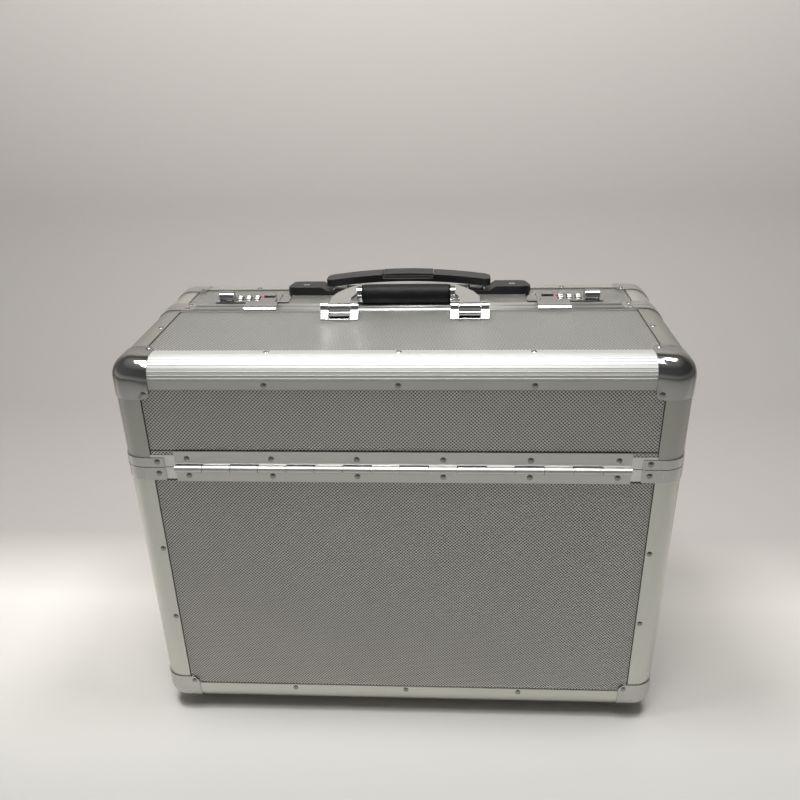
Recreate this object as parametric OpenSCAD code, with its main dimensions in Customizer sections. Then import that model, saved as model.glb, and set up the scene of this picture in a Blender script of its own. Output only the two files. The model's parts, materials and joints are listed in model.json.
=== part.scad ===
/* [Case] */
// Width of the case over its edge trims
case_w = 470; // [400:1:570]
// Depth of the case over its edge trims
case_d = 225; // [187:1:280]
// Height of the case over its edge trims, without its feet
case_h = 360; // [300:1:440]
// Height of the feet, which lift the case off the floor
foot_h = 10; // [6:1:14]
// Width of the fixed strip of the top, from the back face to the split
strip_d = 84.5; // [82:0.5:90]
// Height of the lid, from the split up to the top
lid_h = 95; // [80:1:120]
// Gap between lid and body along the split
split_gap = 0.6; // [0.4:0.1:1]

/* [Walls and edge trims] */
// Outer radius of the rounded edges
edge_r = 18; // [14:1:20]
// Width of an edge trim's flange, from the outer face
trim_reach = 24.5; // [22:0.5:28]
// Thickness of the aluminium in trims and rims
trim_t = 1.2; // [1:0.1:1.5]
// Thickness of the wall boards
board_t = 5; // [4:0.5:7]
// Width of the rim flanges along the split
rim_w = 11; // [9:0.5:12]
// Thickness of the rim's web across a board's edge
rim_web = 1.5; // [1:0.1:2]
// Height of the body's dust lip inside the lid
lip_h = 5; // [3:0.5:7]
// Thickness of the padded liner
liner_t = 2; // [1.5:0.5:4]
// Width of one fine rib along the front top trim
rib_w = 0.7; // [0.5:0.1:1]

/* [Corners and split brackets] */
// Length of a corner piece's arms from the outer face
corner_leg = 33; // [30:0.5:36]
// Thickness of the corner pieces and split brackets
corner_t = 1; // [0.8:0.1:1.5]
// Distance of a corner piece's rivets from both edges
corner_rivet = 28.3; // [26:0.1:29]
// Radius of a corner piece's rounded ear
ear_r = 8; // [4:0.5:9]
// Length of a split bracket's legs from the outer face
bracket_leg = 36; // [33:0.5:38]
// Height of a split bracket on the lid
lid_bracket_h = 8.7; // [7:0.1:10]
// Height of a split bracket on the body
body_bracket_h = 12.2; // [9:0.1:13]

/* [Rivets] */
// Radius of a rivet's head
rivet_r = 2.6; // [2:0.1:3]
// Height of a rivet's domed head
rivet_h = 1; // [0.6:0.1:1.4]
// Radius of a rivet's shank
shank_r = 1.4; // [1:0.1:1.8]
// Spacing of the rivets along the long trims
rivet_pitch = 107.7; // [90:0.1:120]
// Spacing of the rivets along the upright trims
upright_pitch = 76; // [60:1:90]
// Distance of the trim rivets from the outer face
rivet_in = 21; // [19:0.5:22]

/* [Piano hinge] */
// Distance from the outer face to the end of the hinge
hinge_inset = 45; // [42:1:60]
// Target length of one hinge knuckle
knuckle_len = 23.75; // [18:0.25:30]
// Outer radius of the hinge knuckles
knuckle_r = 3.2; // [2.8:0.1:3.6]
// Radius of the hinge pin
pin_r = 1.5; // [1.2:0.1:1.8]
// Height of the upper leaf above the split
upper_leaf_h = 15; // [12:0.5:16]
// Height of the lower leaf below the split
lower_leaf_h = 13; // [12:0.5:16]

/* [Carry handle] */
// Distance between the centres of the two brackets
bracket_spread = 117; // [110:1:124]
// Width of one bracket
bracket_w = 34; // [32:1:38]
// Depth of one bracket
bracket_d = 23; // [20:1:26]
// Width of one bracket ear
bracket_ear = 7; // [5:0.5:8]
// Height of the handle's pivot above the top panel
pivot_h = 8; // [7.5:0.5:10]
// Distance of the pivot in front of the split in the top
pivot_back = 25; // [24:1:34]
// Outer radius of the handle's barrels
barrel_r = 5.5; // [5:0.5:5.5]
// Radius of the handle's pins
handle_pin_r = 2; // [1.5:0.1:2.5]
// Distance from the pivot to the back edge of the bow
bow_reach = 47; // [45:1:56]
// Thickness of the bow plate
bow_t = 2.5; // [2:0.1:3]
// Length of the leather grip
carry_grip_w = 82; // [76:1:86]
// Radius of the leather grip
carry_grip_r = 9.3; // [8.5:0.1:9.5]

/* [Trolley] */
// Distance between the centres of the two telescopic tubes
tube_spread = 132; // [126:1:136]
// Width of the outer tube
tube_w = 20; // [18:0.5:22]
// Depth of the outer tube
tube_d = 13; // [12:0.5:13]
// Wall of the tubes
tube_wall = 1; // [0.8:0.1:1.1]
// Gap round each sliding tube
tube_gap = 0.4; // [0.3:0.05:0.5]
// Distance from the back face to the centre of the tubes
tube_in = 32; // [31.5:0.5:33]
// Travel of each telescopic stage
stage_travel = 260; // [180:5:260]
// Length of the bezel on the top
bezel_w = 238; // [226:1:244]
// Depth of the bezel
bezel_d = 22; // [20:0.5:22]
// Height of the bezel's raised ends above the top panel
bezel_end_h = 8; // [6:0.5:9]
// Height of the bezel's low middle above the top panel
bezel_mid_h = 4; // [3:0.5:5]
// Length of the pull grip
pull_w = 160; // [156:1:166]
// Depth of the pull grip
pull_d = 20; // [18:0.5:21]
// Rise of the pull grip's arch
pull_arch = 6; // [4:0.5:8]
// Thickness of the pull grip at its ends
pull_t = 6.5; // [6:0.5:9]
// Length of the release button in the pull grip
release_w = 49; // [40:1:54]
// Travel of the release button
release_travel = 2.5; // [2:0.5:3]

/* [Wheels and feet] */
// Radius of the wheels
wheel_r = 22; // [20:0.5:24]
// Width of the wheels
wheel_w = 22; // [18:1:24]
// Distance from the side face to the centre of a wheel
wheel_inset = 60; // [59:1:66]
// Radius of the wheel axles
axle_r = 3; // [2.5:0.1:4]
// Wall of the wheel housings
housing_wall = 2.5; // [2:0.1:3]
// Space between a wheel and its housing
wheel_space = 4; // [3:0.5:5]
// Width of the housing's flange round its opening
housing_lip = 3.5; // [2:0.5:4]
// Radius of the front feet
foot_r = 13; // [10:1:16]
// Distance from the side face to the centre of a front foot
foot_inset = 60; // [50:1:80]
// Distance from the front face to the centre of a front foot
foot_back = 42; // [40:1:60]

/* [Locks] */
// Length of a lock's face plate
lock_w = 71; // [70:1:74]
// Depth of a lock's face plate
lock_d = 25; // [25:0.5:26]
// Thickness of the face plate
lock_t = 2.2; // [1.8:0.1:2.5]
// Distance from the side face to the outer end of a lock
lock_inset = 51; // [46:1:56]
// Distance from the split to the centre line of the locks
lock_back = 26.5; // [26:0.5:27]
// Radius of the number dials
dial_r = 7; // [6.5:0.1:7.2]
// Thickness of a dial
dial_w = 5.6; // [5:0.1:6]
// Distance from dial to dial
dial_pitch = 8.2; // [7.6:0.1:8.6]
// Travel of the lock's slide
slide_travel = 3; // [2:0.5:3]
// Width of the hasp that crosses the split
hasp_w = 30; // [26:1:31]

/* [Hidden] */
$fn = 64;

// ---- Planes and places worked out from the sizes above ----
trim_seat = edge_r;                   // depth where a board's edge seats in a trim
half_w = case_w / 2;
half_d = case_d / 2;
floor_z = foot_h;
top_z = foot_h + case_h;
split_y = half_d - strip_d;
split_z = top_z - lid_h;
g = split_gap / 2;
panel = trim_t;                       // depth of a panel's outer face
inner = trim_t + board_t;             // depth of a board's inner face
liner_in = inner + trim_t;            // depth where the liner starts
liner_out = liner_in + liner_t;
lip_in = liner_in + 0.4;              // depth of the dust lip's outer face
panel_top = top_z - panel;
fit = 0.05;                           // clearance of curved skins and running pins
hole_gap = 0.1;                       // clearance round a rivet's shank
rim_stop = g + rim_web;               // distance from the split to a board's edge

hinge_y = -half_d - knuckle_r - 0.3;
hinge_half = half_w - hinge_inset;
knuckles = 2 * round(hinge_half / knuckle_len);
knuckle_pitch = 2 * hinge_half / knuckles;
leaf_clear = knuckle_r + 0.2;         // leaf edge height beside the other leaf's knuckle
proud = knuckle_r * 2 + 0.3;          // how far the hinge stands off the front

pivot_y = split_y - pivot_back;
pivot_z = panel_top + pivot_h;
bow_tilt = 6;
bow_drop = 0.4;                       // depth of the bow plate below the top of its barrels
ear_top_r = 6;
bracket_base = 1.5;
grip_y = bow_reach - 14;              // grip centre behind the pivot
grip_z = carry_grip_r + 0.6 + panel - pivot_h;
core_r = 3;
cap_w = 4;

tube_y = half_d - tube_in;
mid_w = tube_w - 2 * tube_wall - 2 * tube_gap;
mid_d = tube_d - 2 * tube_wall - 2 * tube_gap;
up_w = mid_w - 2 * tube_wall - 2 * tube_gap;
up_d = mid_d - 2 * tube_wall - 2 * tube_gap;
tube_foot = floor_z + liner_in + 3;
bezel_top = panel_top + bezel_end_h;
bezel_y = tube_y - tube_d / 2 - 4 + bezel_d / 2;
pull_pocket = 4.5;                    // depth of the release button's pocket
socket_h = 3.5;                       // depth of the tube sockets in the pull grip
arch_r = (pow(pull_w / 2, 2) + pow(pull_arch, 2)) / (2 * pull_arch);
pull_z = bezel_top + 0.3;             // underside of the pull grip's ends

wheel_x = half_w - wheel_inset;
wheel_y = half_d + proud - wheel_r;
wheel_z = wheel_r;
pocket_w = wheel_w + 2 * wheel_space;
pocket_d = half_d - wheel_y + wheel_r + wheel_space;
pocket_h = wheel_z + wheel_r + wheel_space - floor_z;
house_w = pocket_w + 2 * housing_wall;
house_d = pocket_d + housing_wall;
house_h = pocket_h + housing_wall;

lock_y = split_y + lock_back;
lock_x = half_w - lock_inset - lock_w / 2;
plate_top = panel_top + lock_t;
dial_z = plate_top + 3 - dial_r;
case_deep = 18;                       // depth of the lock case below the panel
case_len = lock_w - 6;
case_wide = lock_d - 7;
case_wall = 1.2;
dial_mid = 5.1;                       // middle dial, from the lock's centre outwards
slide_mid = 26;
slide_len = 14;
hasp_mid = -12.5;
mute = 0.3;                           // gap between pieces on different bodies

// ---- Frames along the edges and at the corners of the case ----
function face_z(s) = s > 0 ? top_z : floor_z;

// Stands a profile of (depth from the Y face, depth from the Z face) along X
module along_x(sy, sz, from, to)
  multmatrix([[0, 0, 1, from], [-sy, 0, 0, sy * half_d], [0, -sz, 0, face_z(sz)], [0, 0, 0, 1]])
    linear_extrude(to - from) children();

// Stands a profile of (depth from the X face, depth from the Z face) along Y
module along_y(sx, sz, from, to)
  multmatrix([[-sx, 0, 0, sx * half_w], [0, 0, 1, from], [0, -sz, 0, face_z(sz)], [0, 0, 0, 1]])
    linear_extrude(to - from) children();

// Stands a profile of (depth from the X face, depth from the Y face) along Z
module along_z(sx, sy, from, to)
  multmatrix([[-sx, 0, 0, sx * half_w], [0, -sy, 0, sy * half_d], [0, 0, 1, from], [0, 0, 0, 1]])
    linear_extrude(to - from) children();

// Puts a corner piece, drawn inwards from the origin, on one corner of the case
module at_corner(sx, sy, sz)
  translate([sx * half_w, sy * half_d, face_z(sz)])
    mirror([sx > 0 ? 1 : 0, 0, 0]) mirror([0, sy > 0 ? 1 : 0, 0]) mirror([0, 0, sz > 0 ? 1 : 0])
      children();

// A box given by its low and high corners
module block(low, high) translate(low) cube(high - low);

// A rectangle with rounded corners, from its centre
module round_rect(w, d, r) {
  square([w - 2 * r, d], center = true);
  square([w, d - 2 * r], center = true);
  for (sx = [-1, 1], sy = [-1, 1])
    translate([sx * (w / 2 - r), sy * (d / 2 - r)]) circle(r);
}

// ---- Rivets: each is [place on the outer face, outward normal] ----
function turned(n) = n[2] > 0 ? [0, 0, 0] : n[2] < 0 ? [180, 0, 0]
  : n[0] > 0 ? [0, 90, 0] : n[0] < 0 ? [0, -90, 0] : n[1] < 0 ? [90, 0, 0] : [-90, 0, 0];

// The three rivets of a corner piece
function corner_set(sx, sy, sz) = [
  [[sx * (half_w - corner_rivet), sy * (half_d - corner_rivet), face_z(sz) + sz * corner_t], [0, 0, sz]],
  [[sx * (half_w - corner_rivet), sy * (half_d + corner_t), face_z(sz) - sz * corner_rivet], [0, sy, 0]],
  [[sx * (half_w + corner_t), sy * (half_d - corner_rivet), face_z(sz) - sz * corner_rivet], [sx, 0, 0]]];

// The rivets of one side's split brackets, at the given distance from the split
function bracket_set(sx, d) = [
  [[sx * (half_w - bracket_leg + 6), -half_d - corner_t, split_z + d], [0, -1, 0]],
  [[sx * (half_w + corner_t), -half_d + bracket_leg - 6, split_z + d], [sx, 0, 0]],
  [[sx * (half_w - bracket_leg + 6), split_y - d, top_z + corner_t], [0, 0, 1]],
  [[sx * (half_w + corner_t), split_y - d, top_z - bracket_leg + 6], [sx, 0, 0]]];

// A pair of rivets on both flanges of a trim that runs along X
function x_pair(x, sy, sz) = [
  [[x, sy * half_d, face_z(sz) - sz * rivet_in], [0, sy, 0]],
  [[x, sy * (half_d - rivet_in), face_z(sz)], [0, 0, sz]]];

// A pair on both flanges of a trim that runs along Y
function y_pair(y, sx, sz) = [
  [[sx * half_w, y, face_z(sz) - sz * rivet_in], [sx, 0, 0]],
  [[sx * (half_w - rivet_in), y, face_z(sz)], [0, 0, sz]]];

// A pair on both flanges of an upright trim
function z_pair(z, sx, sy) = [
  [[sx * half_w, sy * (half_d - rivet_in), z], [sx, 0, 0]],
  [[sx * (half_w - rivet_in), sy * half_d, z], [0, sy, 0]]];

function join(lists) = [for (list = lists) for (item = list) item];

upright_low = floor_z + (split_z - floor_z) * 0.4;
body_trim_rivets = concat(
  join([for (k = [-1 : 1]) x_pair(k * rivet_pitch, -1, -1)]),
  x_pair(0, 1, -1),
  join([for (k = [-1, 1]) x_pair(k * rivet_pitch * 1.4, 1, 1)]),
  join([for (sx = [-1, 1]) join([for (k = [0, 1]) z_pair(upright_low + k * upright_pitch, sx, -1)])]),
  join([for (sx = [-1, 1]) join([for (k = [0 : 2]) z_pair(upright_low + k * upright_pitch, sx, 1)])]),
  join([for (sx = [-1, 1]) y_pair(0, sx, -1)]));
lid_trim_rivets = concat(
  join([for (k = [-1 : 1]) x_pair(k * rivet_pitch, -1, 1)]),
  join([for (sx = [-1, 1]) y_pair((split_y - half_d) / 2 + 13, sx, 1)]));
body_corner_rivets = concat(
  join([for (sx = [-1, 1], sy = [-1, 1]) corner_set(sx, sy, -1)]),
  join([for (sx = [-1, 1]) corner_set(sx, 1, 1)]),
  join([for (sx = [-1, 1]) bracket_set(sx, -5.7)]));
lid_corner_rivets = concat(
  join([for (sx = [-1, 1]) corner_set(sx, -1, 1)]),
  join([for (sx = [-1, 1]) bracket_set(sx, 5.2)]));
all_body_rivets = concat(body_trim_rivets, body_corner_rivets);
all_lid_rivets = concat(lid_trim_rivets, lid_corner_rivets);

// Rivet lines of the hinge leaves: six on each, at the given height
leaf_rivet_x = [for (k = [-2.5 : 2.5]) k * hinge_half * 2 / 5.3];
function leaf_set(z) = [for (x = leaf_rivet_x) [[x, -half_d - trim_t, z], [0, -1, 0]]];
lower_leaf_rivets = leaf_set(split_z - 7.5);
upper_leaf_rivets = leaf_set(split_z + 8.5);

module rivets(list, through)
  for (r = list) translate(r[0]) rotate(turned(r[1])) {
    intersection() {
      translate([0, 0, rivet_h - dome_r]) sphere(dome_r);
      cylinder(h = rivet_h + 1, r = rivet_r);
    }
    translate([0, 0, -through]) cylinder(h = through, r = shank_r);
  }
dome_r = (rivet_r * rivet_r + rivet_h * rivet_h) / (2 * rivet_h);

// Holes for the shanks, through everything under the heads
module rivet_holes(list)
  for (r = list) translate(r[0]) rotate(turned(r[1]))
    translate([0, 0, -inner - trim_t - 2]) cylinder(h = inner + trim_t + 4, r = shank_r + hole_gap);

// ---- Profiles ----
// The outer corner of a trim, filled from a depth inwards
module corner_fill(depth, r) translate([depth, depth]) {
  reach = trim_reach - depth;
  translate([r, 0]) square([reach - r, reach]);
  translate([0, r]) square([r, reach - r]);
  translate([r, r]) intersection() {
    circle(r);
    translate([-r, -r]) square(r);
  }
}

// Edge trim: rounded skin, stop webs for the boards and the inner angle
module trim_profile() {
  difference() {
    corner_fill(0, edge_r);
    corner_fill(trim_t, edge_r - trim_t);
  }
  difference() {
    translate([inner, inner]) square(trim_reach - inner);
    translate([liner_in, liner_in]) square(trim_reach);
  }
  for (m = [0, 1]) mirror([m, -m])
    translate([trim_seat - trim_t, trim_t / 2]) square([trim_t, board_t + trim_t]);
}

// Rim channel: outer flange, web across the board's edge and inner flange
module rim_profile(lip) {
  translate([0, g]) square([trim_t, rim_w - g]);
  translate([inner, g]) square([trim_t, rim_w - 1.5 - g]);
  translate([0, g]) square([(lip ? lip_in : inner) + trim_t, rim_web]);
  if (lip) translate([lip_in, -lip_h]) square([trim_t, lip_h + g + rim_web]);
}

// Angle round an edge, outside the trim, with legs of the given length
module angle_profile(leg) {
  intersection() {
    translate([edge_r, edge_r]) difference() {
      circle(edge_r + corner_t);
      circle(edge_r + fit);
    }
    translate([-corner_t, -corner_t]) square(edge_r + corner_t);
  }
  for (m = [0, 1]) mirror([m, -m])
    translate([edge_r, -corner_t]) square([leg - edge_r, corner_t]);
}

// ---- Boards ----
module board_cut_rivets(list) difference() {
  children();
  rivet_holes(list);
}

module body_front_board() color("darkgray") board_cut_rivets(concat(all_body_rivets, lower_leaf_rivets))
  block([-half_w + trim_seat, -half_d + panel, floor_z + trim_seat],
        [half_w - trim_seat, -half_d + inner, split_z - rim_stop]);

// The spaces that the wheel housings take out of the walls
module housing_room() for (s = [-1, 1])
  translate([s * wheel_x, 0, 0])
    block([-house_w / 2 - hole_gap, half_d - house_d - hole_gap, floor_z - 5],
          [house_w / 2 + hole_gap, half_d + 5, floor_z + house_h + hole_gap]);

module body_back_board() color("darkgray") difference() {
  block([-half_w + trim_seat, half_d - inner, floor_z + trim_seat],
        [half_w - trim_seat, half_d - panel, top_z - trim_seat]);
  rivet_holes(all_body_rivets);
  housing_room();
}

module body_bottom_board() color("darkgray") difference() {
  block([-half_w + trim_seat, -half_d + trim_seat, floor_z + panel],
        [half_w - trim_seat, half_d - trim_seat, floor_z + inner]);
  rivet_holes(all_body_rivets);
  housing_room();
}

// L-shaped side, low under the lid and full height behind the split
module body_side_boards() color("darkgray") board_cut_rivets(all_body_rivets)
  for (s = [-1, 1])
    multmatrix([[0, 0, 1, s > 0 ? half_w - inner : -half_w + panel],
                [1, 0, 0, 0], [0, 1, 0, 0], [0, 0, 0, 1]])
      linear_extrude(board_t)
        polygon([[-half_d + trim_seat, floor_z + trim_seat], [half_d - trim_seat, floor_z + trim_seat],
                 [half_d - trim_seat, top_z - trim_seat], [split_y + rim_stop, top_z - trim_seat],
                 [split_y + rim_stop, split_z - rim_stop], [-half_d + trim_seat, split_z - rim_stop]]);

module body_top_board() color("darkgray") difference() {
  block([-half_w + trim_seat, split_y + rim_stop, top_z - inner],
        [half_w - trim_seat, half_d - trim_seat, panel_top]);
  rivet_holes(all_body_rivets);
  for (s = [-1, 1]) {
    translate([s * tube_spread / 2, tube_y, 0])
      block([-tube_w / 2 - hole_gap, -tube_d / 2 - hole_gap, 0], [tube_w / 2 + hole_gap, tube_d / 2 + hole_gap, top_z]);
    translate([s * lock_x, lock_y, 0])
      block([-case_len / 2 - hole_gap, -case_wide / 2 - hole_gap, top_z - inner - 1],
            [case_len / 2 + hole_gap, case_wide / 2 + hole_gap, top_z]);
  }
}

module lid_top_board() color("darkgray") difference() {
  block([-half_w + trim_seat, -half_d + trim_seat, top_z - inner],
        [half_w - trim_seat, split_y - rim_stop, panel_top]);
  rivet_holes(all_lid_rivets);
}

module lid_front_board() color("darkgray") board_cut_rivets(concat(all_lid_rivets, upper_leaf_rivets))
  block([-half_w + trim_seat, -half_d + panel, split_z + rim_stop],
        [half_w - trim_seat, -half_d + inner, top_z - trim_seat]);

module lid_side_boards() color("darkgray") board_cut_rivets(all_lid_rivets)
  for (s = [-1, 1])
    block([s > 0 ? half_w - inner : -half_w + panel, -half_d + trim_seat, split_z + rim_stop],
          [s > 0 ? half_w - panel : -half_w + inner, split_y - rim_stop, top_z - trim_seat]);

// ---- Edge trims ----
module body_upright_trims() color("silver") board_cut_rivets(all_body_rivets)
  for (s = [-1, 1]) {
    along_z(s, -1, floor_z + trim_reach, split_z - g) trim_profile();
    along_z(s, 1, floor_z + trim_reach, top_z - trim_reach) trim_profile();
  }

module body_bottom_trims() color("silver") difference() {
  union() {
    for (s = [-1, 1]) {
      along_x(s, -1, -half_w + trim_reach, half_w - trim_reach) trim_profile();
      along_y(s, -1, -half_d + trim_reach, half_d - trim_reach) trim_profile();
    }
  }
  rivet_holes(all_body_rivets);
  housing_room();
}

module body_top_trims() color("silver") board_cut_rivets(all_body_rivets) {
  along_x(1, 1, -half_w + trim_reach, half_w - trim_reach) trim_profile();
  for (s = [-1, 1])
    along_y(s, 1, split_y + g, half_d - trim_reach) trim_profile();
}

module lid_side_trims() color("silver") board_cut_rivets(all_lid_rivets)
  for (s = [-1, 1]) {
    along_y(s, 1, -half_d + trim_reach, split_y - g) trim_profile();
    along_z(s, -1, split_z + g, top_z - trim_reach) trim_profile();
  }

// The front top trim has fine ribs along its rounded edge
module lid_front_trim() color("whitesmoke") board_cut_rivets(all_lid_rivets) {
  along_x(-1, 1, -half_w + trim_reach, half_w - trim_reach) trim_profile();
  along_x(-1, 1, -half_w + corner_leg + mute, half_w - corner_leg - mute)
    for (a = [9 : 9 : 81])
      translate([edge_r, edge_r]) rotate(180 + a) translate([edge_r - 0.1, 0]) circle(rib_w / 2);
}

// ---- Rims along the split ----
// Puts a rim profile of (depth from the front face, distance from the split) along X
module front_rim(way) multmatrix([[0, 0, 1, -half_w + trim_reach], [1, 0, 0, -half_d],
                                  [0, way, 0, split_z], [0, 0, 0, 1]])
  linear_extrude(case_w - 2 * trim_reach) children();

module top_rim(way) multmatrix([[0, 0, 1, -half_w + trim_reach], [0, way, 0, split_y],
                                [-1, 0, 0, top_z], [0, 0, 0, 1]])
  linear_extrude(case_w - 2 * trim_reach) children();

// Along a side: level from the front trim to the split in the top
module side_rim_level(s, way, to) multmatrix([[-s, 0, 0, s * half_w], [0, 0, 1, -half_d + trim_reach],
                                          [0, way, 0, split_z], [0, 0, 0, 1]])
  linear_extrude(to + half_d - trim_reach) children();

// Along a side: upright from the given height to the top trim
module side_rim_upright(s, way, from) multmatrix([[-s, 0, 0, s * half_w], [0, way, 0, split_y],
                                            [0, 0, 1, from], [0, 0, 0, 1]])
  linear_extrude(top_z - trim_reach - from) children();

module body_rim() color("gainsboro") board_cut_rivets(concat(all_body_rivets, lower_leaf_rivets)) {
  front_rim(-1) rim_profile(true);
  top_rim(1) rim_profile(true);
  for (s = [-1, 1]) {
    side_rim_level(s, -1, split_y + rim_stop) rim_profile(true);
    side_rim_upright(s, 1, split_z - rim_stop) rim_profile(true);
    for (u = [0, inner])
      block([s > 0 ? half_w - u - trim_t : -half_w + u, split_y + g, split_z - rim_w],
            [s > 0 ? half_w - u : -half_w + u + trim_t, split_y + rim_w, split_z - g]);
  }
}

module lid_rim() color("gainsboro") board_cut_rivets(concat(all_lid_rivets, upper_leaf_rivets)) {
  front_rim(1) rim_profile(false);
  top_rim(-1) rim_profile(false);
  for (s = [-1, 1]) {
    side_rim_level(s, 1, split_y - g) rim_profile(false);
    side_rim_upright(s, -1, split_z + g) rim_profile(false);
  }
}

// ---- Corner pieces and split brackets ----
cycle = [[[1, 0, 0, 0], [0, 1, 0, 0], [0, 0, 1, 0], [0, 0, 0, 1]],
         [[0, 0, 1, 0], [1, 0, 0, 0], [0, 1, 0, 0], [0, 0, 0, 1]],
         [[0, 1, 0, 0], [0, 0, 1, 0], [1, 0, 0, 0], [0, 0, 0, 1]]];

// Quarter ring of the corner's skin, round the centre of its edges
module skin_ring() intersection() {
  difference() {
    circle(edge_r + corner_t);
    circle(edge_r + fit);
  }
  square(edge_r + corner_t);
}

// Ball, an arm along each of the three edges, and a flat with a rounded ear on each face
module corner_piece() {
  room = corner_leg - edge_r;
  translate([edge_r, edge_r, edge_r]) mirror([0, 0, 1]) rotate_extrude(angle = 90, start = 180) skin_ring();
  for (m = cycle) multmatrix(m) {
    translate([edge_r, edge_r, edge_r]) linear_extrude(room) rotate(180) skin_ring();
    translate([edge_r, edge_r, -corner_t]) linear_extrude(corner_t) ear_plate(0, room);
    translate([edge_r, edge_r, -corner_t / 2]) linear_extrude(panel + corner_t / 2)
      ear_plate(trim_reach - edge_r, room);
  }
}

// A square between two offsets with its far corner rounded
module ear_plate(low, high) {
  translate([low, low]) square([high - low, high - ear_r - low]);
  translate([low, low]) square([high - ear_r - low, high - low]);
  translate([high - ear_r, high - ear_r]) intersection() {
    circle(ear_r);
    square(ear_r);
  }
}

module bottom_corners() color("lightgray") difference() {
  union() for (sx = [-1, 1], sy = [-1, 1]) at_corner(sx, sy, -1) corner_piece();
  rivet_holes(body_corner_rivets);
}

module top_rear_corners() color("lightgray") difference() {
  union() for (sx = [-1, 1]) at_corner(sx, 1, 1) corner_piece();
  rivet_holes(body_corner_rivets);
}

module lid_ball_corners() color("lightsteelblue") difference() {
  union() for (sx = [-1, 1]) at_corner(sx, -1, 1) corner_piece();
  rivet_holes(lid_corner_rivets);
}

module body_split_brackets() color("lightgray") difference() {
  union() for (s = [-1, 1]) {
    along_z(s, -1, split_z - body_bracket_h, split_z - g) angle_profile(bracket_leg);
    along_y(s, 1, split_y + g, split_y + rim_w) angle_profile(bracket_leg);
  }
  rivet_holes(body_corner_rivets);
}

module lid_split_brackets() color("lightgray") difference() {
  union() for (s = [-1, 1]) {
    along_z(s, -1, split_z + g, split_z + lid_bracket_h) angle_profile(bracket_leg);
    along_y(s, 1, split_y - lid_bracket_h, split_y - g) angle_profile(bracket_leg);
  }
  rivet_holes(lid_corner_rivets);
}

module body_rivets() color("dimgray") {
  rivets(body_trim_rivets, inner);
  rivets(body_corner_rivets, inner + corner_t);
  rivets(lower_leaf_rivets, inner + trim_t);
}

module lid_rivets() color("dimgray") {
  rivets(lid_trim_rivets, inner);
  rivets(lid_corner_rivets, inner + corner_t);
  rivets(upper_leaf_rivets, inner + trim_t);
}

// ---- Liners ----
liner_back = tube_y - tube_d / 2 - 6;  // front face of the false back wall
module liner_side(s, points) multmatrix([[0, 0, 1, s > 0 ? half_w - liner_out : -half_w + liner_in],
                                         [1, 0, 0, 0], [0, 1, 0, 0], [0, 0, 0, 1]])
  linear_extrude(liner_t) polygon(points);

// Keeps the liners' outer corners clear of the balls of the corner pieces
module ball_room() for (sx = [-1, 1], sy = [-1, 1], sz = [-1, 1])
  at_corner(sx, sy, sz) cube(liner_in + liner_t * 0.8);

module body_liner() color("black") difference() {
  y0 = -half_d + liner_in;
  z0 = floor_z + liner_in;
  z1 = split_z - rim_stop;
  z2 = top_z - liner_in;
  y2 = split_y + rim_stop;
  union() {
    for (s = [-1, 1])
      liner_side(s, [[y0, z0], [liner_back, z0], [liner_back, z2], [y2, z2], [y2, z1], [y0, z1]]);
    block([-half_w + liner_in, y0, z0], [half_w - liner_in, liner_back, z0 + liner_t]);
    block([-half_w + liner_in, y0, z0], [half_w - liner_in, y0 + liner_t, z1]);
    block([-half_w + liner_in, liner_back - liner_t, z0], [half_w - liner_in, liner_back, z2]);
  }
  ball_room();
}

module lid_liner() color("black") difference() {
  y0 = -half_d + liner_in;
  y1 = split_y - lip_h - 1;
  z0 = split_z + lip_h + 1;
  z1 = top_z - liner_in;
  union() {
    for (s = [-1, 1]) liner_side(s, [[y0, z0], [y1, z0], [y1, z1], [y0, z1]]);
    block([-half_w + liner_in, y0, z1 - liner_t], [half_w - liner_in, y1, z1]);
    block([-half_w + liner_in, y0, z0], [half_w - liner_in, y0 + liner_t, z1]);
  }
  ball_room();
}

// ---- Piano hinge ----
function knuckle(k) = -hinge_half + k * knuckle_pitch;

module leaf(way, height, start) {
  difference() {
    union() {
      block([-hinge_half, -half_d - trim_t, min(split_z, split_z + way * height)],
            [hinge_half, -half_d, max(split_z, split_z + way * height)]);
      for (k = [start : 2 : knuckles - 1])
        translate([knuckle(k) + 0.3, hinge_y, split_z]) rotate([0, 90, 0])
          cylinder(h = knuckle_pitch - 0.6, r = knuckle_r);
    }
    for (k = [1 - start : 2 : knuckles - 1])
      block([knuckle(k) - 0.3, -half_d - 5, split_z - leaf_clear],
            [knuckle(k) + knuckle_pitch + 0.3, -half_d + 1, split_z + leaf_clear]);
    translate([-hinge_half - 1, hinge_y, split_z]) rotate([0, 90, 0])
      cylinder(h = 2 * hinge_half + 2, r = pin_r + fit);
    rivet_holes(way > 0 ? upper_leaf_rivets : lower_leaf_rivets);
  }
}
module lower_hinge_leaf() color("silver") leaf(-1, lower_leaf_h, 0);
module upper_hinge_leaf() color("silver") leaf(1, upper_leaf_h, 1);
module hinge_pin() color("gray") translate([-hinge_half, hinge_y, split_z]) rotate([0, 90, 0])
  cylinder(h = 2 * hinge_half, r = pin_r);

// ---- Feet and wheels ----
module rubber_feet() color("black") for (s = [-1, 1])
  translate([s * (half_w - foot_inset), -half_d + foot_back, 0]) rotate_extrude()
    polygon([[0, 0], [foot_r - 2, 0], [foot_r - 0.6, 1.4], [foot_r, foot_h], [foot_r, foot_h + panel],
             [0, foot_h + panel]]);

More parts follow.
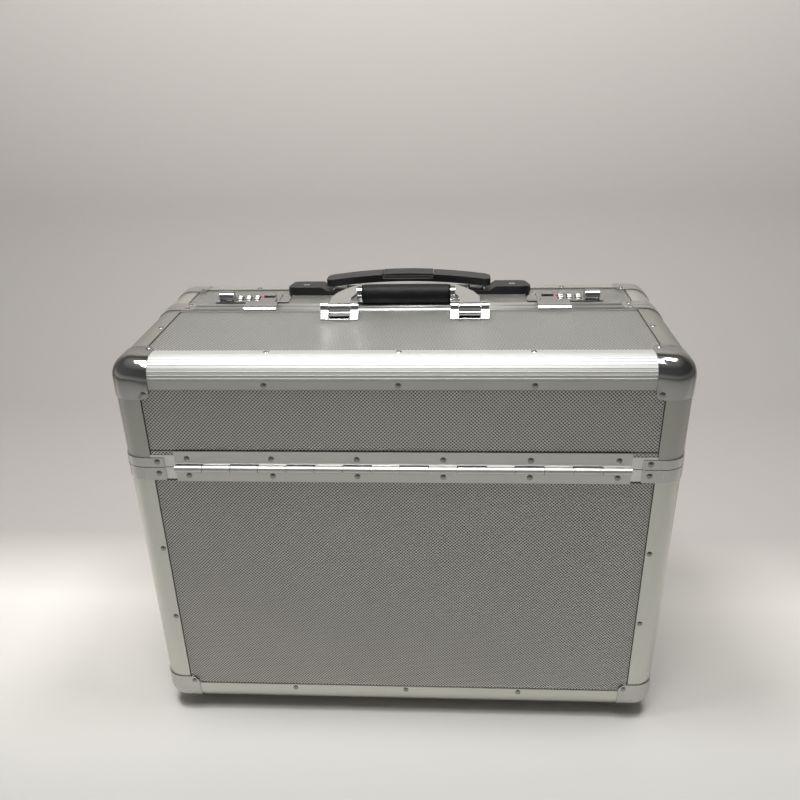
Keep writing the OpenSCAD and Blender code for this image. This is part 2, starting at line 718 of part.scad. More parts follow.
// Plastic box in the bottom rear corner, open below and behind, with a flange on both faces
module wheel_housings() color("#202020") for (s = [-1, 1]) translate([s * wheel_x, 0, 0]) {
  lip_w = house_w / 2 + housing_lip;
  difference() {
    union() {
      block([-house_w / 2, half_d - house_d, floor_z - 1.5], [house_w / 2, half_d + 1.5, floor_z + house_h]);
      block([-lip_w, half_d, floor_z - 1.5], [lip_w, half_d + 1.5, floor_z + house_h + housing_lip]);
      block([-lip_w, half_d - house_d - housing_lip, floor_z - 1.5], [lip_w, half_d + 1.5, floor_z]);
      block([-lip_w, half_d - house_d - housing_lip, floor_z - 0.1],
            [lip_w, half_d - trim_reach, floor_z + panel]);
    }
    block([-pocket_w / 2, half_d - pocket_d, floor_z - 5], [pocket_w / 2, half_d + 5, floor_z + pocket_h]);
    translate([-house_w, wheel_y, wheel_z]) rotate([0, 90, 0]) cylinder(h = 2 * house_w, r = axle_r + fit);
  }
}

module wheel_axles() color("silver") for (s = [-1, 1])
  translate([s * wheel_x - house_w / 2, wheel_y, wheel_z]) rotate([0, 90, 0])
    cylinder(h = house_w, r = axle_r);

tyre_in = wheel_r * 0.72;
boss_w = pocket_w - 2 * mute;
module hub(s) translate([s * wheel_x, wheel_y, wheel_z]) rotate([0, 90, 0]) rotate_extrude()
  polygon([[axle_r + fit, -boss_w / 2], [axle_r + 2.5, -boss_w / 2], [axle_r + 3.5, -wheel_w / 2 + 3],
           [tyre_in - 3, -wheel_w / 2 + 3], [tyre_in - 2, -wheel_w / 2 + 0.5], [tyre_in, -wheel_w / 2 + 0.5],
           [tyre_in, wheel_w / 2 - 0.5], [tyre_in - 2, wheel_w / 2 - 0.5], [tyre_in - 3, wheel_w / 2 - 3],
           [axle_r + 3.5, wheel_w / 2 - 3], [axle_r + 2.5, boss_w / 2], [axle_r + fit, boss_w / 2]]);

module tyre(s) translate([s * wheel_x, wheel_y, wheel_z]) rotate([0, 90, 0]) rotate_extrude()
  polygon([[tyre_in, -wheel_w / 2], [wheel_r - 3, -wheel_w / 2], [wheel_r - 0.8, -wheel_w / 2 + 2.2],
           [wheel_r, -wheel_w / 2 + 5], [wheel_r, wheel_w / 2 - 5], [wheel_r - 0.8, wheel_w / 2 - 2.2],
           [wheel_r - 3, wheel_w / 2], [tyre_in, wheel_w / 2]]);

module left_wheel_hub() color("gray") hub(-1);
module right_wheel_hub() color("gray") hub(1);
module left_wheel_tyre() color("#181818") tyre(-1);
module right_wheel_tyre() color("#181818") tyre(1);

// ---- Trolley ----
// One rectangular tube round each of the two tube axes
module tubes(w, d, from, to) for (s = [-1, 1]) translate([s * tube_spread / 2, tube_y, from])
  linear_extrude(to - from) difference() {
    round_rect(w, d, 2);
    round_rect(w - 2 * tube_wall, d - 2 * tube_wall, 1);
  }

module trolley_outer_tubes() color("silver") tubes(tube_w, tube_d, tube_foot, panel_top);

// Sockets that carry the outer tubes on the bottom board
module trolley_base_blocks() color("#202020") for (s = [-1, 1])
  translate([s * tube_spread / 2, tube_y, 0]) difference() {
    block([-tube_w / 2 - 5, -tube_d / 2 - 5.5, floor_z + liner_in],
          [tube_w / 2 + 5, half_d - liner_in - tube_y, floor_z + 36]);
    translate([0, 0, tube_foot]) linear_extrude(50) round_rect(tube_w + 2 * fit, tube_d + 2 * fit, 2);
  }

// Bezel: low in the middle and raised at its round ends
module trolley_bezel() color("#202020") {
  r = bezel_d / 2;
  end = 36;
  translate([0, bezel_y, panel_top]) difference() {
    intersection() {
      linear_extrude(bezel_end_h) {
        square([bezel_w - bezel_d, bezel_d], center = true);
        for (s = [-1, 1]) translate([s * (bezel_w / 2 - r), 0]) circle(r);
      }
      translate([0, r + 1, 0]) rotate([90, 0, 0]) linear_extrude(bezel_d + 2)
        polygon([[-bezel_w / 2 - 1, 0], [-bezel_w / 2 - 1, bezel_end_h - 2.5], [-bezel_w / 2 + 5, bezel_end_h],
                 [-bezel_w / 2 + end - 2, bezel_end_h], [-bezel_w / 2 + end + 4, bezel_mid_h],
                 [bezel_w / 2 - end - 4, bezel_mid_h], [bezel_w / 2 - end + 2, bezel_end_h],
                 [bezel_w / 2 - 5, bezel_end_h], [bezel_w / 2 + 1, bezel_end_h - 2.5], [bezel_w / 2 + 1, 0]]);
    }
    // step over the flange of the rear trim
    block([-bezel_w, half_d - trim_reach - hole_gap - bezel_y, -1], [bezel_w, bezel_d, panel]);
    for (s = [-1, 1]) {
      translate([s * tube_spread / 2, tube_y - bezel_y, -1]) linear_extrude(20)
        round_rect(mid_w + 2 * tube_gap, mid_d + 2 * tube_gap, 2);
      translate([s * (bezel_w / 2 - 18), 0, -1]) cylinder(h = 20, r = screw_r + hole_gap);
      translate([s * (bezel_w / 2 - 18), 0, bezel_end_h - 1.2]) cylinder(h = 5, r = 3.4);
    }
  }
}
screw_r = 1.6;
module bezel_screws() color("silver") for (s = [-1, 1])
  translate([s * (bezel_w / 2 - 18), bezel_y, 0]) difference() {
    union() {
      translate([0, 0, panel_top + bezel_end_h - 1.2]) cylinder(h = 1, r = 3.2);
      translate([0, 0, panel_top]) cylinder(h = bezel_end_h - 1, r = screw_r);
    }
    translate([0, 0, panel_top + bezel_end_h + 1]) for (a = [0, 90]) rotate(a)
      cube([3.6, 0.8, 4], center = true);
  }

module trolley_middle_tubes() color("silver") tubes(mid_w, mid_d, tube_foot + 6, panel_top + bezel_mid_h - 0.5);
module trolley_upper_tubes() color("silver") tubes(up_w, up_d, tube_foot + 12, pull_z + socket_h - 0.2);

// Points of an arch of the pull grip's width, from one end to the other
arch_steps = 24;
function arch(rise) = [for (k = [0 : arch_steps])
  let (x = pull_w * (k / arch_steps - 0.5)) [x, rise + sqrt(arch_r * arch_r - x * x) - arch_r]];
function reversed(list) = [for (k = [len(list) - 1 : -1 : 0]) list[k]];

// Arched grip with a pocket for the release button and sockets for the tubes
module pull_profile() polygon(concat(
  [for (p = arch(pull_arch - 1)) [p[0], max(0, p[1])]], reversed(arch(pull_arch + pull_t))));

module pull_grip() color("#181818") translate([0, tube_y, pull_z]) difference() {
  intersection() {
    translate([0, pull_d / 2, 0]) rotate([90, 0, 0]) linear_extrude(pull_d) pull_profile();
    linear_extrude(60) round_rect(pull_w, pull_d, 6);
  }
  block([-release_w / 2, -pull_d, pull_arch + pull_t - pull_pocket], [release_w / 2, pull_d, 60]);
  for (s = [-1, 1]) translate([s * tube_spread / 2, 0, -1]) linear_extrude(socket_h + 1)
    round_rect(up_w + 2 * fit, up_d + 2 * fit, 2);
}

module release_button() color("#101010") translate([0, tube_y, pull_z]) intersection() {
  block([-release_w / 2 + mute, -pull_d / 2 + 0.6, pull_arch + pull_t - pull_pocket + mute + release_travel],
        [release_w / 2 - mute, pull_d / 2 - 0.6, 60]);
  translate([0, pull_d / 2, 0]) rotate([90, 0, 0]) linear_extrude(pull_d)
    polygon(concat([[-pull_w / 2, -1], [pull_w / 2, -1]], reversed(arch(pull_arch + pull_t + 0.6))));
}

// Rods that carry the button's push down the upper tubes to the latches of the stages
module release_rods() color("silver") for (s = [-1, 1])
  translate([s * tube_spread / 2, tube_y, tube_foot + 16])
    cylinder(h = pull_z + socket_h - 0.4 - tube_foot - 16, r = up_d / 2 - tube_wall - 0.7);

// ---- Locks: drawn with +X outwards from the middle of the case ----
module at_lock(s) translate([s * lock_x, lock_y, 0]) mirror([s > 0 ? 0 : 1, 0, 0]) children();

bar_low = panel_top - case_deep + case_wall + 1;
bar_high = bar_low + 4;
hook_x = hasp_mid - 3;
hook_w = 10;
hook_y = -4;
dial_out = [for (k = [-1 : 1]) dial_mid + k * dial_pitch];
web_x = dial_out[2] + dial_w / 2 + 1;

module lock_case(s) at_lock(s) difference() {
  union() {
    difference() {
      block([-case_len / 2, -case_wide / 2, panel_top - case_deep], [case_len / 2, case_wide / 2, panel_top]);
      block([-case_len / 2 + case_wall, -case_wide / 2 + case_wall, panel_top - case_deep + case_wall],
            [case_len / 2 - case_wall, case_wide / 2 - case_wall, panel_top + 1]);
    }
    block([web_x, -case_wide / 2 + case_wall / 2, bar_high + 0.5], [web_x + 1, case_wide / 2 - case_wall / 2, panel_top]);
  }
  translate([-case_len, 0, dial_z]) rotate([0, 90, 0]) cylinder(h = 2 * case_len, r = shaft_r + hole_gap);
}
shaft_r = 1.5;

module dial_shaft(s) at_lock(s) translate([-case_len / 2, 0, dial_z]) rotate([0, 90, 0])
  cylinder(h = case_len / 2 + web_x + 1, r = shaft_r);

module lock_plate(s) at_lock(s) difference() {
  union() {
    translate([0, 0, panel_top]) linear_extrude(lock_t) round_rect(lock_w, lock_d, 2);
    block([hook_x - hook_w / 2 - 0.5, -1.2, panel_top], [hook_x + hook_w / 2 + 0.5, lock_d / 2 - 5, plate_top + 3]);
  }
  for (x = dial_out)
    block([x - dial_w / 2 - mute, -dial_r - 0.2, panel_top - 1], [x + dial_w / 2 + mute, dial_r + 0.2, plate_top + 1]);
  // slot of the slide's stem
  block([slide_mid - stem_w / 2 - mute, -3 - mute, panel_top - 1],
        [slide_mid + stem_w / 2 + mute + slide_travel, 3 + mute, plate_top + 1]);
  // mouth for the hasp's hook, with room for the arc it leaves on
  block([hook_x - hook_w / 2 - 0.5, -case_wide / 2 + case_wall + mute, panel_top - 1],
        [hook_x + hook_w / 2 + 0.5, hook_y + 2, plate_top + 1]);
  // slit at the inner end
  block([-lock_w / 2 + 9, -lock_d / 2 + 4, plate_top - 0.8], [-lock_w / 2 + 10, lock_d / 2 - 2, plate_top + 1]);
  translate([dial_out[0] - 5.2, 4.6, panel_top - 1]) cylinder(h = 10, r = 1.7 + hole_gap);
}
stem_w = 4;

module lock_indicators() color("red") for (s = [-1, 1]) at_lock(s)
  translate([dial_out[0] - 5.2, 4.6, panel_top]) {
    cylinder(h = lock_t + 0.4, r = 1.7);
    translate([0, 0, lock_t + 0.4]) cylinder(h = 0.5, r1 = 1.7, r2 = 1.2);
  }

// Number dial: a chamfered disc with ten flutes
module dial(s, x) at_lock(s) translate([x, 0, dial_z]) rotate([0, 90, 0]) difference() {
  rotate_extrude() polygon([[shaft_r + fit, -dial_w / 2], [dial_r - 0.6, -dial_w / 2],
    [dial_r, -dial_w / 2 + 0.8], [dial_r, dial_w / 2 - 0.8], [dial_r - 0.6, dial_w / 2],
    [shaft_r + fit, dial_w / 2]]);
  for (a = [18 : 36 : 342]) rotate(a) translate([dial_r + 0.3, 0, -dial_w])
    cylinder(h = 2 * dial_w, r = 0.8);
}

// Half-round button, stem, bar under the dials and the arm that blocks the hook
module lock_slide(s) at_lock(s) {
  r = 6;
  arm_x = hook_x + hook_w / 2 + mute;
  translate([slide_mid - slide_len / 2, 0, plate_top + 1]) rotate([90, 0, 90]) linear_extrude(slide_len)
    intersection() {
      circle(r);
      translate([-r, 0]) square([2 * r, r]);
    }
  block([slide_mid - slide_len / 2, -r, plate_top + mute], [slide_mid + slide_len / 2, r, plate_top + 1]);
  block([slide_mid - stem_w / 2, -3, bar_low], [slide_mid + stem_w / 2, 3, plate_top + 1]);
  block([arm_x, -5.5, bar_low], [slide_mid, 3, bar_high]);
  block([arm_x, -5.5, bar_low], [arm_x + 1, -shaft_r - 0.6, panel_top - 1]);
}

module lock_cases() color("dimgray") for (s = [-1, 1]) lock_case(s);
module lock_plates() color("silver") for (s = [-1, 1]) lock_plate(s);
module dial_shafts() color("gray") for (s = [-1, 1]) dial_shaft(s);
module left_dial_inner() color("gainsboro") dial(-1, dial_out[0]);
module left_dial_middle() color("gainsboro") dial(-1, dial_out[1]);
module left_dial_outer() color("gainsboro") dial(-1, dial_out[2]);
module right_dial_inner() color("gainsboro") dial(1, dial_out[0]);
module right_dial_middle() color("gainsboro") dial(1, dial_out[1]);
module right_dial_outer() color("gainsboro") dial(1, dial_out[2]);
module left_lock_slide() color("silver") lock_slide(-1);
module right_lock_slide() color("silver") lock_slide(1);

// Hasp on the lid's rim: a hood over the split, a tongue over the plate and a hook
module lock_hasps() color("silver") for (s = [-1, 1]) at_lock(s) {
  y0 = split_y - rim_w - lock_y;
  y1 = -lock_back + rim_w - 4;
  multmatrix([[0, 0, 1, hasp_mid - hasp_w / 2], [1, 0, 0, 0], [0, 1, 0, top_z], [0, 0, 0, 1]])
    linear_extrude(hasp_w) polygon([[y0, 0], [-lock_back - g, 0], [-lock_back - g, 0.5], [y1, 1.4],
      [y1, 2.9], [y1 - 2.5, 4.2], [y0 + 5, 4.2], [y0 + 1.8, 3.2], [y0, 1]]);
  block([hook_x - 7.5, y1 - 1, plate_top + mute], [hook_x + 7.5, hook_y + 1.5, plate_top + mute + 1.5]);
  block([hook_x - hook_w / 2, hook_y, plate_top - 5], [hook_x + hook_w / 2, hook_y + 1.5, plate_top + 1]);
}

// ---- Carry handle ----
module at_brackets() for (s = [-1, 1])
  translate([s * bracket_spread / 2, pivot_y, panel_top]) children();

module handle_brackets() color("silver") at_brackets() {
  y0 = -bracket_d / 2 - 0.5;
  y1 = bracket_d / 2 - 0.5;
  block([-bracket_w / 2, y0, 0], [bracket_w / 2, y1, bracket_base]);
  for (x = [-bracket_w / 2, bracket_w / 2 - bracket_ear])
    multmatrix([[0, 0, 1, x], [1, 0, 0, 0], [0, 1, 0, 0], [0, 0, 0, 1]]) linear_extrude(bracket_ear)
      difference() {
        union() {
          translate([0, pivot_h]) circle(ear_top_r);
          polygon([[y0, 0], [y1, 0], [y1, bracket_base], [ear_top_r, pivot_h], [-ear_top_r, pivot_h],
                   [y0, bracket_base]]);
        }
        translate([0, pivot_h]) circle(handle_pin_r + fit);
      }
}

module handle_pins() color("gray") at_brackets()
  translate([-bracket_w / 2, 0, pivot_h]) rotate([0, 90, 0]) cylinder(h = bracket_w, r = handle_pin_r);

// Outline of one half of the bow, from a barrel round to the middle of its back edge
barrel_w = bracket_w - 2 * bracket_ear - 1;
wing_out = bracket_spread / 2 + barrel_w / 2 - 0.4;
wing_in = bracket_spread / 2 - barrel_w / 2 + 0.4;
bow_half = [[0, bow_reach - 4.5], [carry_grip_w / 2 + cap_w, bow_reach - 4.5], [carry_grip_w / 2 + cap_w, 22],
  [wing_in, 12], [wing_in, 0], [wing_out, 0], [wing_out, 13], [wing_out - 5, 25], [wing_out - 14, 36],
  [wing_out - 24, bow_reach - 3], [wing_out - 32, bow_reach], [0, bow_reach]];

module carry_bow() color("silver") translate([0, pivot_y, pivot_z]) difference() {
  union() {
    rotate([bow_tilt, 0, 0]) for (m = [0, 1]) mirror([m, 0, 0])
      translate([0, 0, barrel_r - bow_t - bow_drop]) linear_extrude(bow_t) polygon(bow_half);
    for (s = [-1, 1]) {
      translate([s * bracket_spread / 2 - barrel_w / 2, 0, 0]) rotate([0, 90, 0])
        cylinder(h = barrel_w, r = barrel_r);
      translate([s * (carry_grip_w / 2 + cap_w / 2 + 0.25) - cap_w / 2 - 0.25, grip_y, grip_z]) rotate([0, 90, 0])
        cylinder(h = cap_w + 0.5, r = carry_grip_r - 0.3);
    }
    translate([-carry_grip_w / 2 - 1, grip_y, grip_z]) rotate([0, 90, 0])
      cylinder(h = carry_grip_w + 2, r = core_r);
  }
  translate([-case_w / 2, 0, 0]) rotate([0, 90, 0]) cylinder(h = case_w, r = handle_pin_r + fit);
}

module carry_grip() color("#151515") translate([-carry_grip_w / 2, pivot_y + grip_y, pivot_z + grip_z])
  rotate([0, 90, 0]) difference() {
    cylinder(h = carry_grip_w, r = carry_grip_r);
    translate([0, 0, -1]) cylinder(h = carry_grip_w + 2, r = core_r + fit);
  }

body_front_board();
body_back_board();
body_side_boards();
body_bottom_board();
body_top_board();
body_upright_trims();
body_bottom_trims();
body_top_trims();
body_rim();
bottom_corners();
top_rear_corners();
body_split_brackets();
body_rivets();
body_liner();
rubber_feet();
wheel_housings();
wheel_axles();
left_wheel_hub();
left_wheel_tyre();
right_wheel_hub();
right_wheel_tyre();
lower_hinge_leaf();
hinge_pin();
trolley_outer_tubes();
trolley_base_blocks();
trolley_bezel();
bezel_screws();
trolley_middle_tubes();
trolley_upper_tubes();
pull_grip();
release_button();
release_rods();
lock_cases();
lock_plates();
dial_shafts();
left_dial_outer();
left_dial_middle();
left_dial_inner();
left_lock_slide();
right_dial_inner();
right_dial_middle();
right_dial_outer();
right_lock_slide();
lock_indicators();
lid_top_board();
lid_front_board();
lid_side_boards();
lid_front_trim();
lid_side_trims();
lid_rim();
lid_ball_corners();
lid_split_brackets();
lid_rivets();
lid_liner();
upper_hinge_leaf();
lock_hasps();
handle_brackets();
handle_pins();
carry_bow();
carry_grip();
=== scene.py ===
import json
import math

import bmesh
import bpy
from bpy.props import FloatProperty, FloatVectorProperty, IntProperty, PointerProperty
from mathutils import Matrix, Vector
from mathutils import noise as field


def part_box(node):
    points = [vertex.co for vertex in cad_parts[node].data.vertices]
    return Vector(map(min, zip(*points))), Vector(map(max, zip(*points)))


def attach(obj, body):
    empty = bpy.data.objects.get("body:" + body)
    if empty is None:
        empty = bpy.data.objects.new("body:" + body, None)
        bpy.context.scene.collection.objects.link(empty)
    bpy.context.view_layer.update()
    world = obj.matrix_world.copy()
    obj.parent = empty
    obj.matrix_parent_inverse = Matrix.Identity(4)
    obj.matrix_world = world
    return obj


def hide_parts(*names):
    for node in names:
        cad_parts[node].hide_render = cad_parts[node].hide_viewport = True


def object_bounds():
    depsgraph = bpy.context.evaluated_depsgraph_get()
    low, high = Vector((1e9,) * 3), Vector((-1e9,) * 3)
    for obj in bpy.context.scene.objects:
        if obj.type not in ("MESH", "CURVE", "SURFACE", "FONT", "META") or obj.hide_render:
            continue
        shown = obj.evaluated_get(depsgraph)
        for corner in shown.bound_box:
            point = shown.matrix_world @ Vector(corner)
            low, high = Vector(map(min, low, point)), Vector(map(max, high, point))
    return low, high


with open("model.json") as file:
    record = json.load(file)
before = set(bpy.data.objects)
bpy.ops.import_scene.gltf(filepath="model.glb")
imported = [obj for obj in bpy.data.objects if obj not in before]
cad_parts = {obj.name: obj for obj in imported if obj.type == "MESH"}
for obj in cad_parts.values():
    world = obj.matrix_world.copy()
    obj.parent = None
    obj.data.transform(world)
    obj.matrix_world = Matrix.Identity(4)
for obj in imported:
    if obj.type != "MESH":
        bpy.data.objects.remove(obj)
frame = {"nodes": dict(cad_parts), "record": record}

bl_info = {
    "name": "Pilot case finishes",
    "version": (1, 0, 0),
    "blender": (4, 5, 0),
    "location": "View3D > Sidebar > Pilot Case",
    "description": "Dresses the packed pilot case in metal, leather, cloth and plastic",
    "category": "Object",
}

LOW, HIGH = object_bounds()
BODY_OF = {node: body for body, nodes in frame["record"]["behaviour"]["bodies"].items() for node in nodes}
FACING = 0.5    # share of a normal along an axis above which a surface counts as facing it


# ---- Sizes and colours ----
def length(name, text, value):
    return FloatProperty(name=name, description=text, default=value, unit="LENGTH", precision=5)


def colour(name, text, value):
    return FloatVectorProperty(name=name, description=text, default=value, subtype="COLOR", min=0, max=1)


class PanelLooks(bpy.types.PropertyGroup):
    pitch: length("Pitch", "Distance between neighbouring pits of the embossed sheet", 0.0030)
    depth: length("Depth", "Depth of the embossing", 0.00035)
    sheet: colour("Sheet", "Colour of the embossed aluminium", (0.56, 0.56, 0.53))
    # Painted shade: this dark colour fills the pits and the gaps along the trims.
    pit: colour("Pits", "Colour down in the pits", (0.045, 0.045, 0.042))


class MetalLooks(bpy.types.PropertyGroup):
    trim: colour("Trims", "Satin anodised edge trims", (0.60, 0.60, 0.555))
    bright: colour("Bright trim", "Front top trim and rims", (0.72, 0.72, 0.695))
    corner: colour("Corners", "Pressed steel corners", (0.50, 0.50, 0.48))
    chrome: colour("Chrome", "Polished chrome", (0.50, 0.505, 0.50))
    rivet: colour("Rivets", "Rivets and screws", (0.30, 0.30, 0.29))
    hinge: colour("Hinge", "Piano hinge", (0.58, 0.58, 0.555))
    tube: colour("Tubes", "Telescopic tubes", (0.72, 0.72, 0.72))


class SoftLooks(bpy.types.PropertyGroup):
    leather: colour("Leather", "Carry grip", (0.0035, 0.0035, 0.0037))
    lining: colour("Lining", "Quilted lining", (0.030, 0.031, 0.036))
    thread: colour("Thread", "Stitches", (0.035, 0.035, 0.036))
    plastic: colour("Plastic", "Pull grip, bezel and housings", (0.0095, 0.0099, 0.0106))
    rubber: colour("Rubber", "Feet and tyres", (0.028, 0.028, 0.028))
    mark: colour("Marks", "Red dots and marks by the dials", (0.62, 0.030, 0.015))
    quilt: length("Quilting", "Distance between the lining's seams", 0.048)
    puff: length("Padding", "How far the lining swells between its seams", 0.0011)
    stitch: length("Stitch", "Length of one stitch on the grip's seam", 0.0026)


class DialLooks(bpy.types.PropertyGroup):
    digits: IntProperty(name="Digits", description="Numbers round a dial", default=10, min=6, max=10)
    number: length("Number", "Height of a number", 0.0034)
    ink: colour("Ink", "Numbers on the dials", (0.012, 0.012, 0.012))


class StageLooks(bpy.types.PropertyGroup):
    floor: colour("Floor", "Floor under the case", (0.770, 0.745, 0.700))
    # Painted shade: the floor in front of the case is darker, standing in for light falling off away from the
    # lamps.
    front: colour("Front floor", "Floor in front of the case", (0.485, 0.477, 0.455))
    wall: colour("Wall", "Backdrop", (0.71, 0.675, 0.64))
    lamp: FloatProperty(name="Lamp", description="Strength of each lamp overhead",
                        default=14.5, min=0, unit="POWER")


GROUPS = {"panels": PanelLooks, "metals": MetalLooks, "softs": SoftLooks, "dials": DialLooks,
          "stage": StageLooks}


def looks(group):
    return getattr(bpy.context.scene, "pilot_case_" + group)


# ---- Shader expressions ----
class Value:
    """A shader socket that takes part in Python arithmetic by adding Math nodes."""

    def __init__(self, graph, socket):
        self.graph, self.socket = graph, socket

    def _with(self, operation, *values):
        return self.graph.node("ShaderNodeMath", {"operation": operation}, dict(enumerate(values)))

    def __add__(self, other): return self._with("ADD", self, other)
    def __radd__(self, other): return self._with("ADD", other, self)
    def __sub__(self, other): return self._with("SUBTRACT", self, other)
    def __rsub__(self, other): return self._with("SUBTRACT", other, self)
    def __mul__(self, other): return self._with("MULTIPLY", self, other)
    def __rmul__(self, other): return self._with("MULTIPLY", other, self)
    def __gt__(self, other): return self._with("GREATER_THAN", self, other)
    def __lt__(self, other): return self._with("LESS_THAN", self, other)
    def __abs__(self): return self._with("ABSOLUTE", self)
    def cos(self): return self._with("COSINE", self)
    def sin(self): return self._with("SINE", self)
    def most(self, other): return self._with("MAXIMUM", self, other)


class Graph:
    """A node tree in which every added node comes from one method."""

    def __init__(self, tree):
        self.tree = tree

    def feed(self, socket, value):
        """Links a value to a socket, or sets the socket to a number or a colour."""
        if isinstance(value, Value):
            self.tree.links.new(value.socket, socket)
        elif hasattr(value, "__len__") and len(value) == 3 and len(getattr(socket, "default_value", ())) == 4:
            socket.default_value = (*value, 1)
        else:
            socket.default_value = value

    def node(self, kind, settings=None, inputs=None, out=0):
        added = self.tree.nodes.new(kind)
        for name, value in (settings or {}).items():
            if name == "stops":
                self.set_stops(added.color_ramp.elements, value)
            else:
                setattr(added, name, value)
        for key, value in (inputs or {}).items():
            self.feed(added.inputs[key], value)
        return Value(self, added.outputs[out])

    def set_stops(self, elements, stops):
        for place, _ in stops[2:]:
            elements.new(place)
        for element, (place, level) in zip(elements, sorted(stops)):
            shade = level if isinstance(level, tuple) else (level,) * 3
            element.position, element.color = place, (*shade, 1)

    def place(self, output="Object"):
        return self.node("ShaderNodeTexCoord", out=output)

    def xyz(self, output="Object"):
        split = self.node("ShaderNodeSeparateXYZ", inputs={0: self.place(output)})
        return [Value(self, split.socket.node.outputs[i]) for i in range(3)]

    def vector(self, x, y, z):
        return self.node("ShaderNodeCombineXYZ", inputs={0: x, 1: y, 2: z})

    def clouds(self, scale, detail=3.0, rough=0.55, at=None):
        return self.node("ShaderNodeTexNoise", {"noise_dimensions": "3D"},
                         {"Vector": at or self.place(), "Scale": scale, "Detail": detail, "Roughness": rough})

    def ramp(self, value, *stops):
        return self.node("ShaderNodeValToRGB", {"stops": stops}, {0: value})

    def mix(self, share, first, second):
        return self.node("ShaderNodeMix", {"data_type": "RGBA"}, {0: share, 6: first, 7: second}, out=2)

    def bump(self, height, distance, strength=1.0):
        return self.node("ShaderNodeBump",
                         inputs={"Height": height, "Distance": distance, "Strength": strength})


class Finish(Graph):
    """One material, with its Principled shader's constants set on the shader's own sockets."""

    made = {}

    def __init__(self, name, roughness=0.5, metallic=0.0, **constants):
        self.material = bpy.data.materials.new(name)
        self.material.use_nodes = True
        super().__init__(self.material.node_tree)
        self.shader = self.tree.nodes["Principled BSDF"]
        self.set(Roughness=roughness, Metallic=metallic, **constants)
        Finish.made[name] = self

    def set(self, **values):
        for name, value in values.items():
            self.feed(self.shader.inputs[name.replace("_", " ")], value)
        return self


def tone(base, factor):
    """A colour made lighter or darker."""
    return tuple(min(1.0, c * factor) for c in base)


# ---- Finishes ----
def embossed_sheet():
    """Aluminium sheet pressed with rows of small pits, with painted shade in the pits and in the gaps along
    the trims.
    """
    sizes = looks("panels")
    skin = Finish("embossed_sheet", metallic=1.0)
    x, y, z = skin.xyz()
    out = skin.xyz("Normal")
    nx, nz = (abs(out[i]) > FACING for i in (0, 2))
    across = x * (1 - nx) + y * nx
    up = z * (1 - nz) + y * nz
    turns = 2 * math.pi / sizes.pitch
    wave = (across * turns).cos() * (up * turns).cos() * 0.5 + 0.5
    height = skin.ramp(wave, (0.0, 0.0), (0.50, 0.50), (0.62, 0.92), (0.80, 1.0))
    # Painted shade: the pits take the dark pit colour.
    pits = skin.ramp(wave, (0.0, 1.0), (0.30, 0.95), (0.52, 0.22), (0.66, 0.0))
    drift = skin.clouds(9.0, 4.0)
    worn = skin.clouds(70.0, 5.0, 0.7)
    patchy = (drift * 0.6 + worn * 0.25) * (1 - nz * 0.9)
    base = skin.mix(patchy, tone(sizes.sheet, 0.90), tone(sizes.sheet, 1.10))
    # Painted shade in the gaps along the trims, the rims and the hinge.
    gap = seams(abs(x), abs(y), z, y, nx, out[1] < -FACING, nz)
    return skin.set(Base_Color=skin.mix((pits * 0.92).most(gap * 0.9), base, sizes.pit),
                    Roughness=0.36 + worn * 0.10 + pits * 0.20,
                    Normal=skin.bump(height, sizes.depth, 0.9))


def seams(side_x, side_y, z, y, nx, faces_front, nz):
    """Mask of painted shade along the edges of the trims, the rims and the hinge: 1 in these gaps, 0
    elsewhere.
    """
    narrow, wide = 0.0007, 0.0015

    def near(value, edge, width=narrow):
        return abs(value - edge) < width

    low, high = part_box("body_bottom_trims")
    reach = high.z - low.z
    trim_low, trim_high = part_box("lid_front_trim")
    lower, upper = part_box("lower_hinge_leaf")[0].z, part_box("upper_hinge_leaf")[1].z
    upright = near(side_x, high.x - reach) * (1 - nx)
    level = near(z, high.z) * (1 - nz)
    deep = near(side_y, high.y - reach) * nx
    front = near(z, trim_low.z).most(near(z, lower)).most(near(z, upper)) * faces_front
    over = near(y, trim_high.y)
    for edge in (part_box("lid_rim")[0].y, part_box("body_rim")[1].y, high.y - reach):
        over = over.most(near(y, edge, wide))
    return upright.most(level).most(deep).most(front).most(over * nz)


LINES_UP = (900, 900, 14)
LINES_ACROSS = (2, 2400, 2400)
LONG_LINES_ACROSS = (1.5, 2400, 2400)
LINE_DEPTH = 0.00003


def drawn_metal(name, base, roughness, grain, lines, shadow=None):
    """Drawn or rolled metal with fine lines along one of its axes, faint smudges and scuffs, and painted
    shade where a shadow mask is given.
    """
    metal = Finish(name, metallic=1.0)
    x, y, z = metal.xyz()
    # Painted shade: where the shadow mask is 1, the colour goes nearly black.
    dark = shadow(x, y, z) if shadow else 0.0
    along = metal.vector(*(axis * count for axis, count in zip((x, y, z), lines)))
    streaks = metal.clouds(1.0, 2.0, 0.6, along)
    smudge = metal.clouds(22.0, 4.0, 0.6)
    scuff = metal.ramp(metal.clouds(160.0, 6.0, 0.75), (0.60, 0.0), (0.75, 1.0))
    clean = metal.mix(streaks * 0.5 + smudge * 0.4, tone(base, 0.90), tone(base, 1.08))
    return metal.set(Base_Color=metal.mix(dark, clean, tone(base, 0.05)),
                     Roughness=(roughness - 0.05 * grain + streaks * (0.10 * grain)
                                + smudge * 0.05 + scuff * 0.05),
                     Normal=metal.bump(streaks + scuff * 0.3, LINE_DEPTH * grain, 0.5))


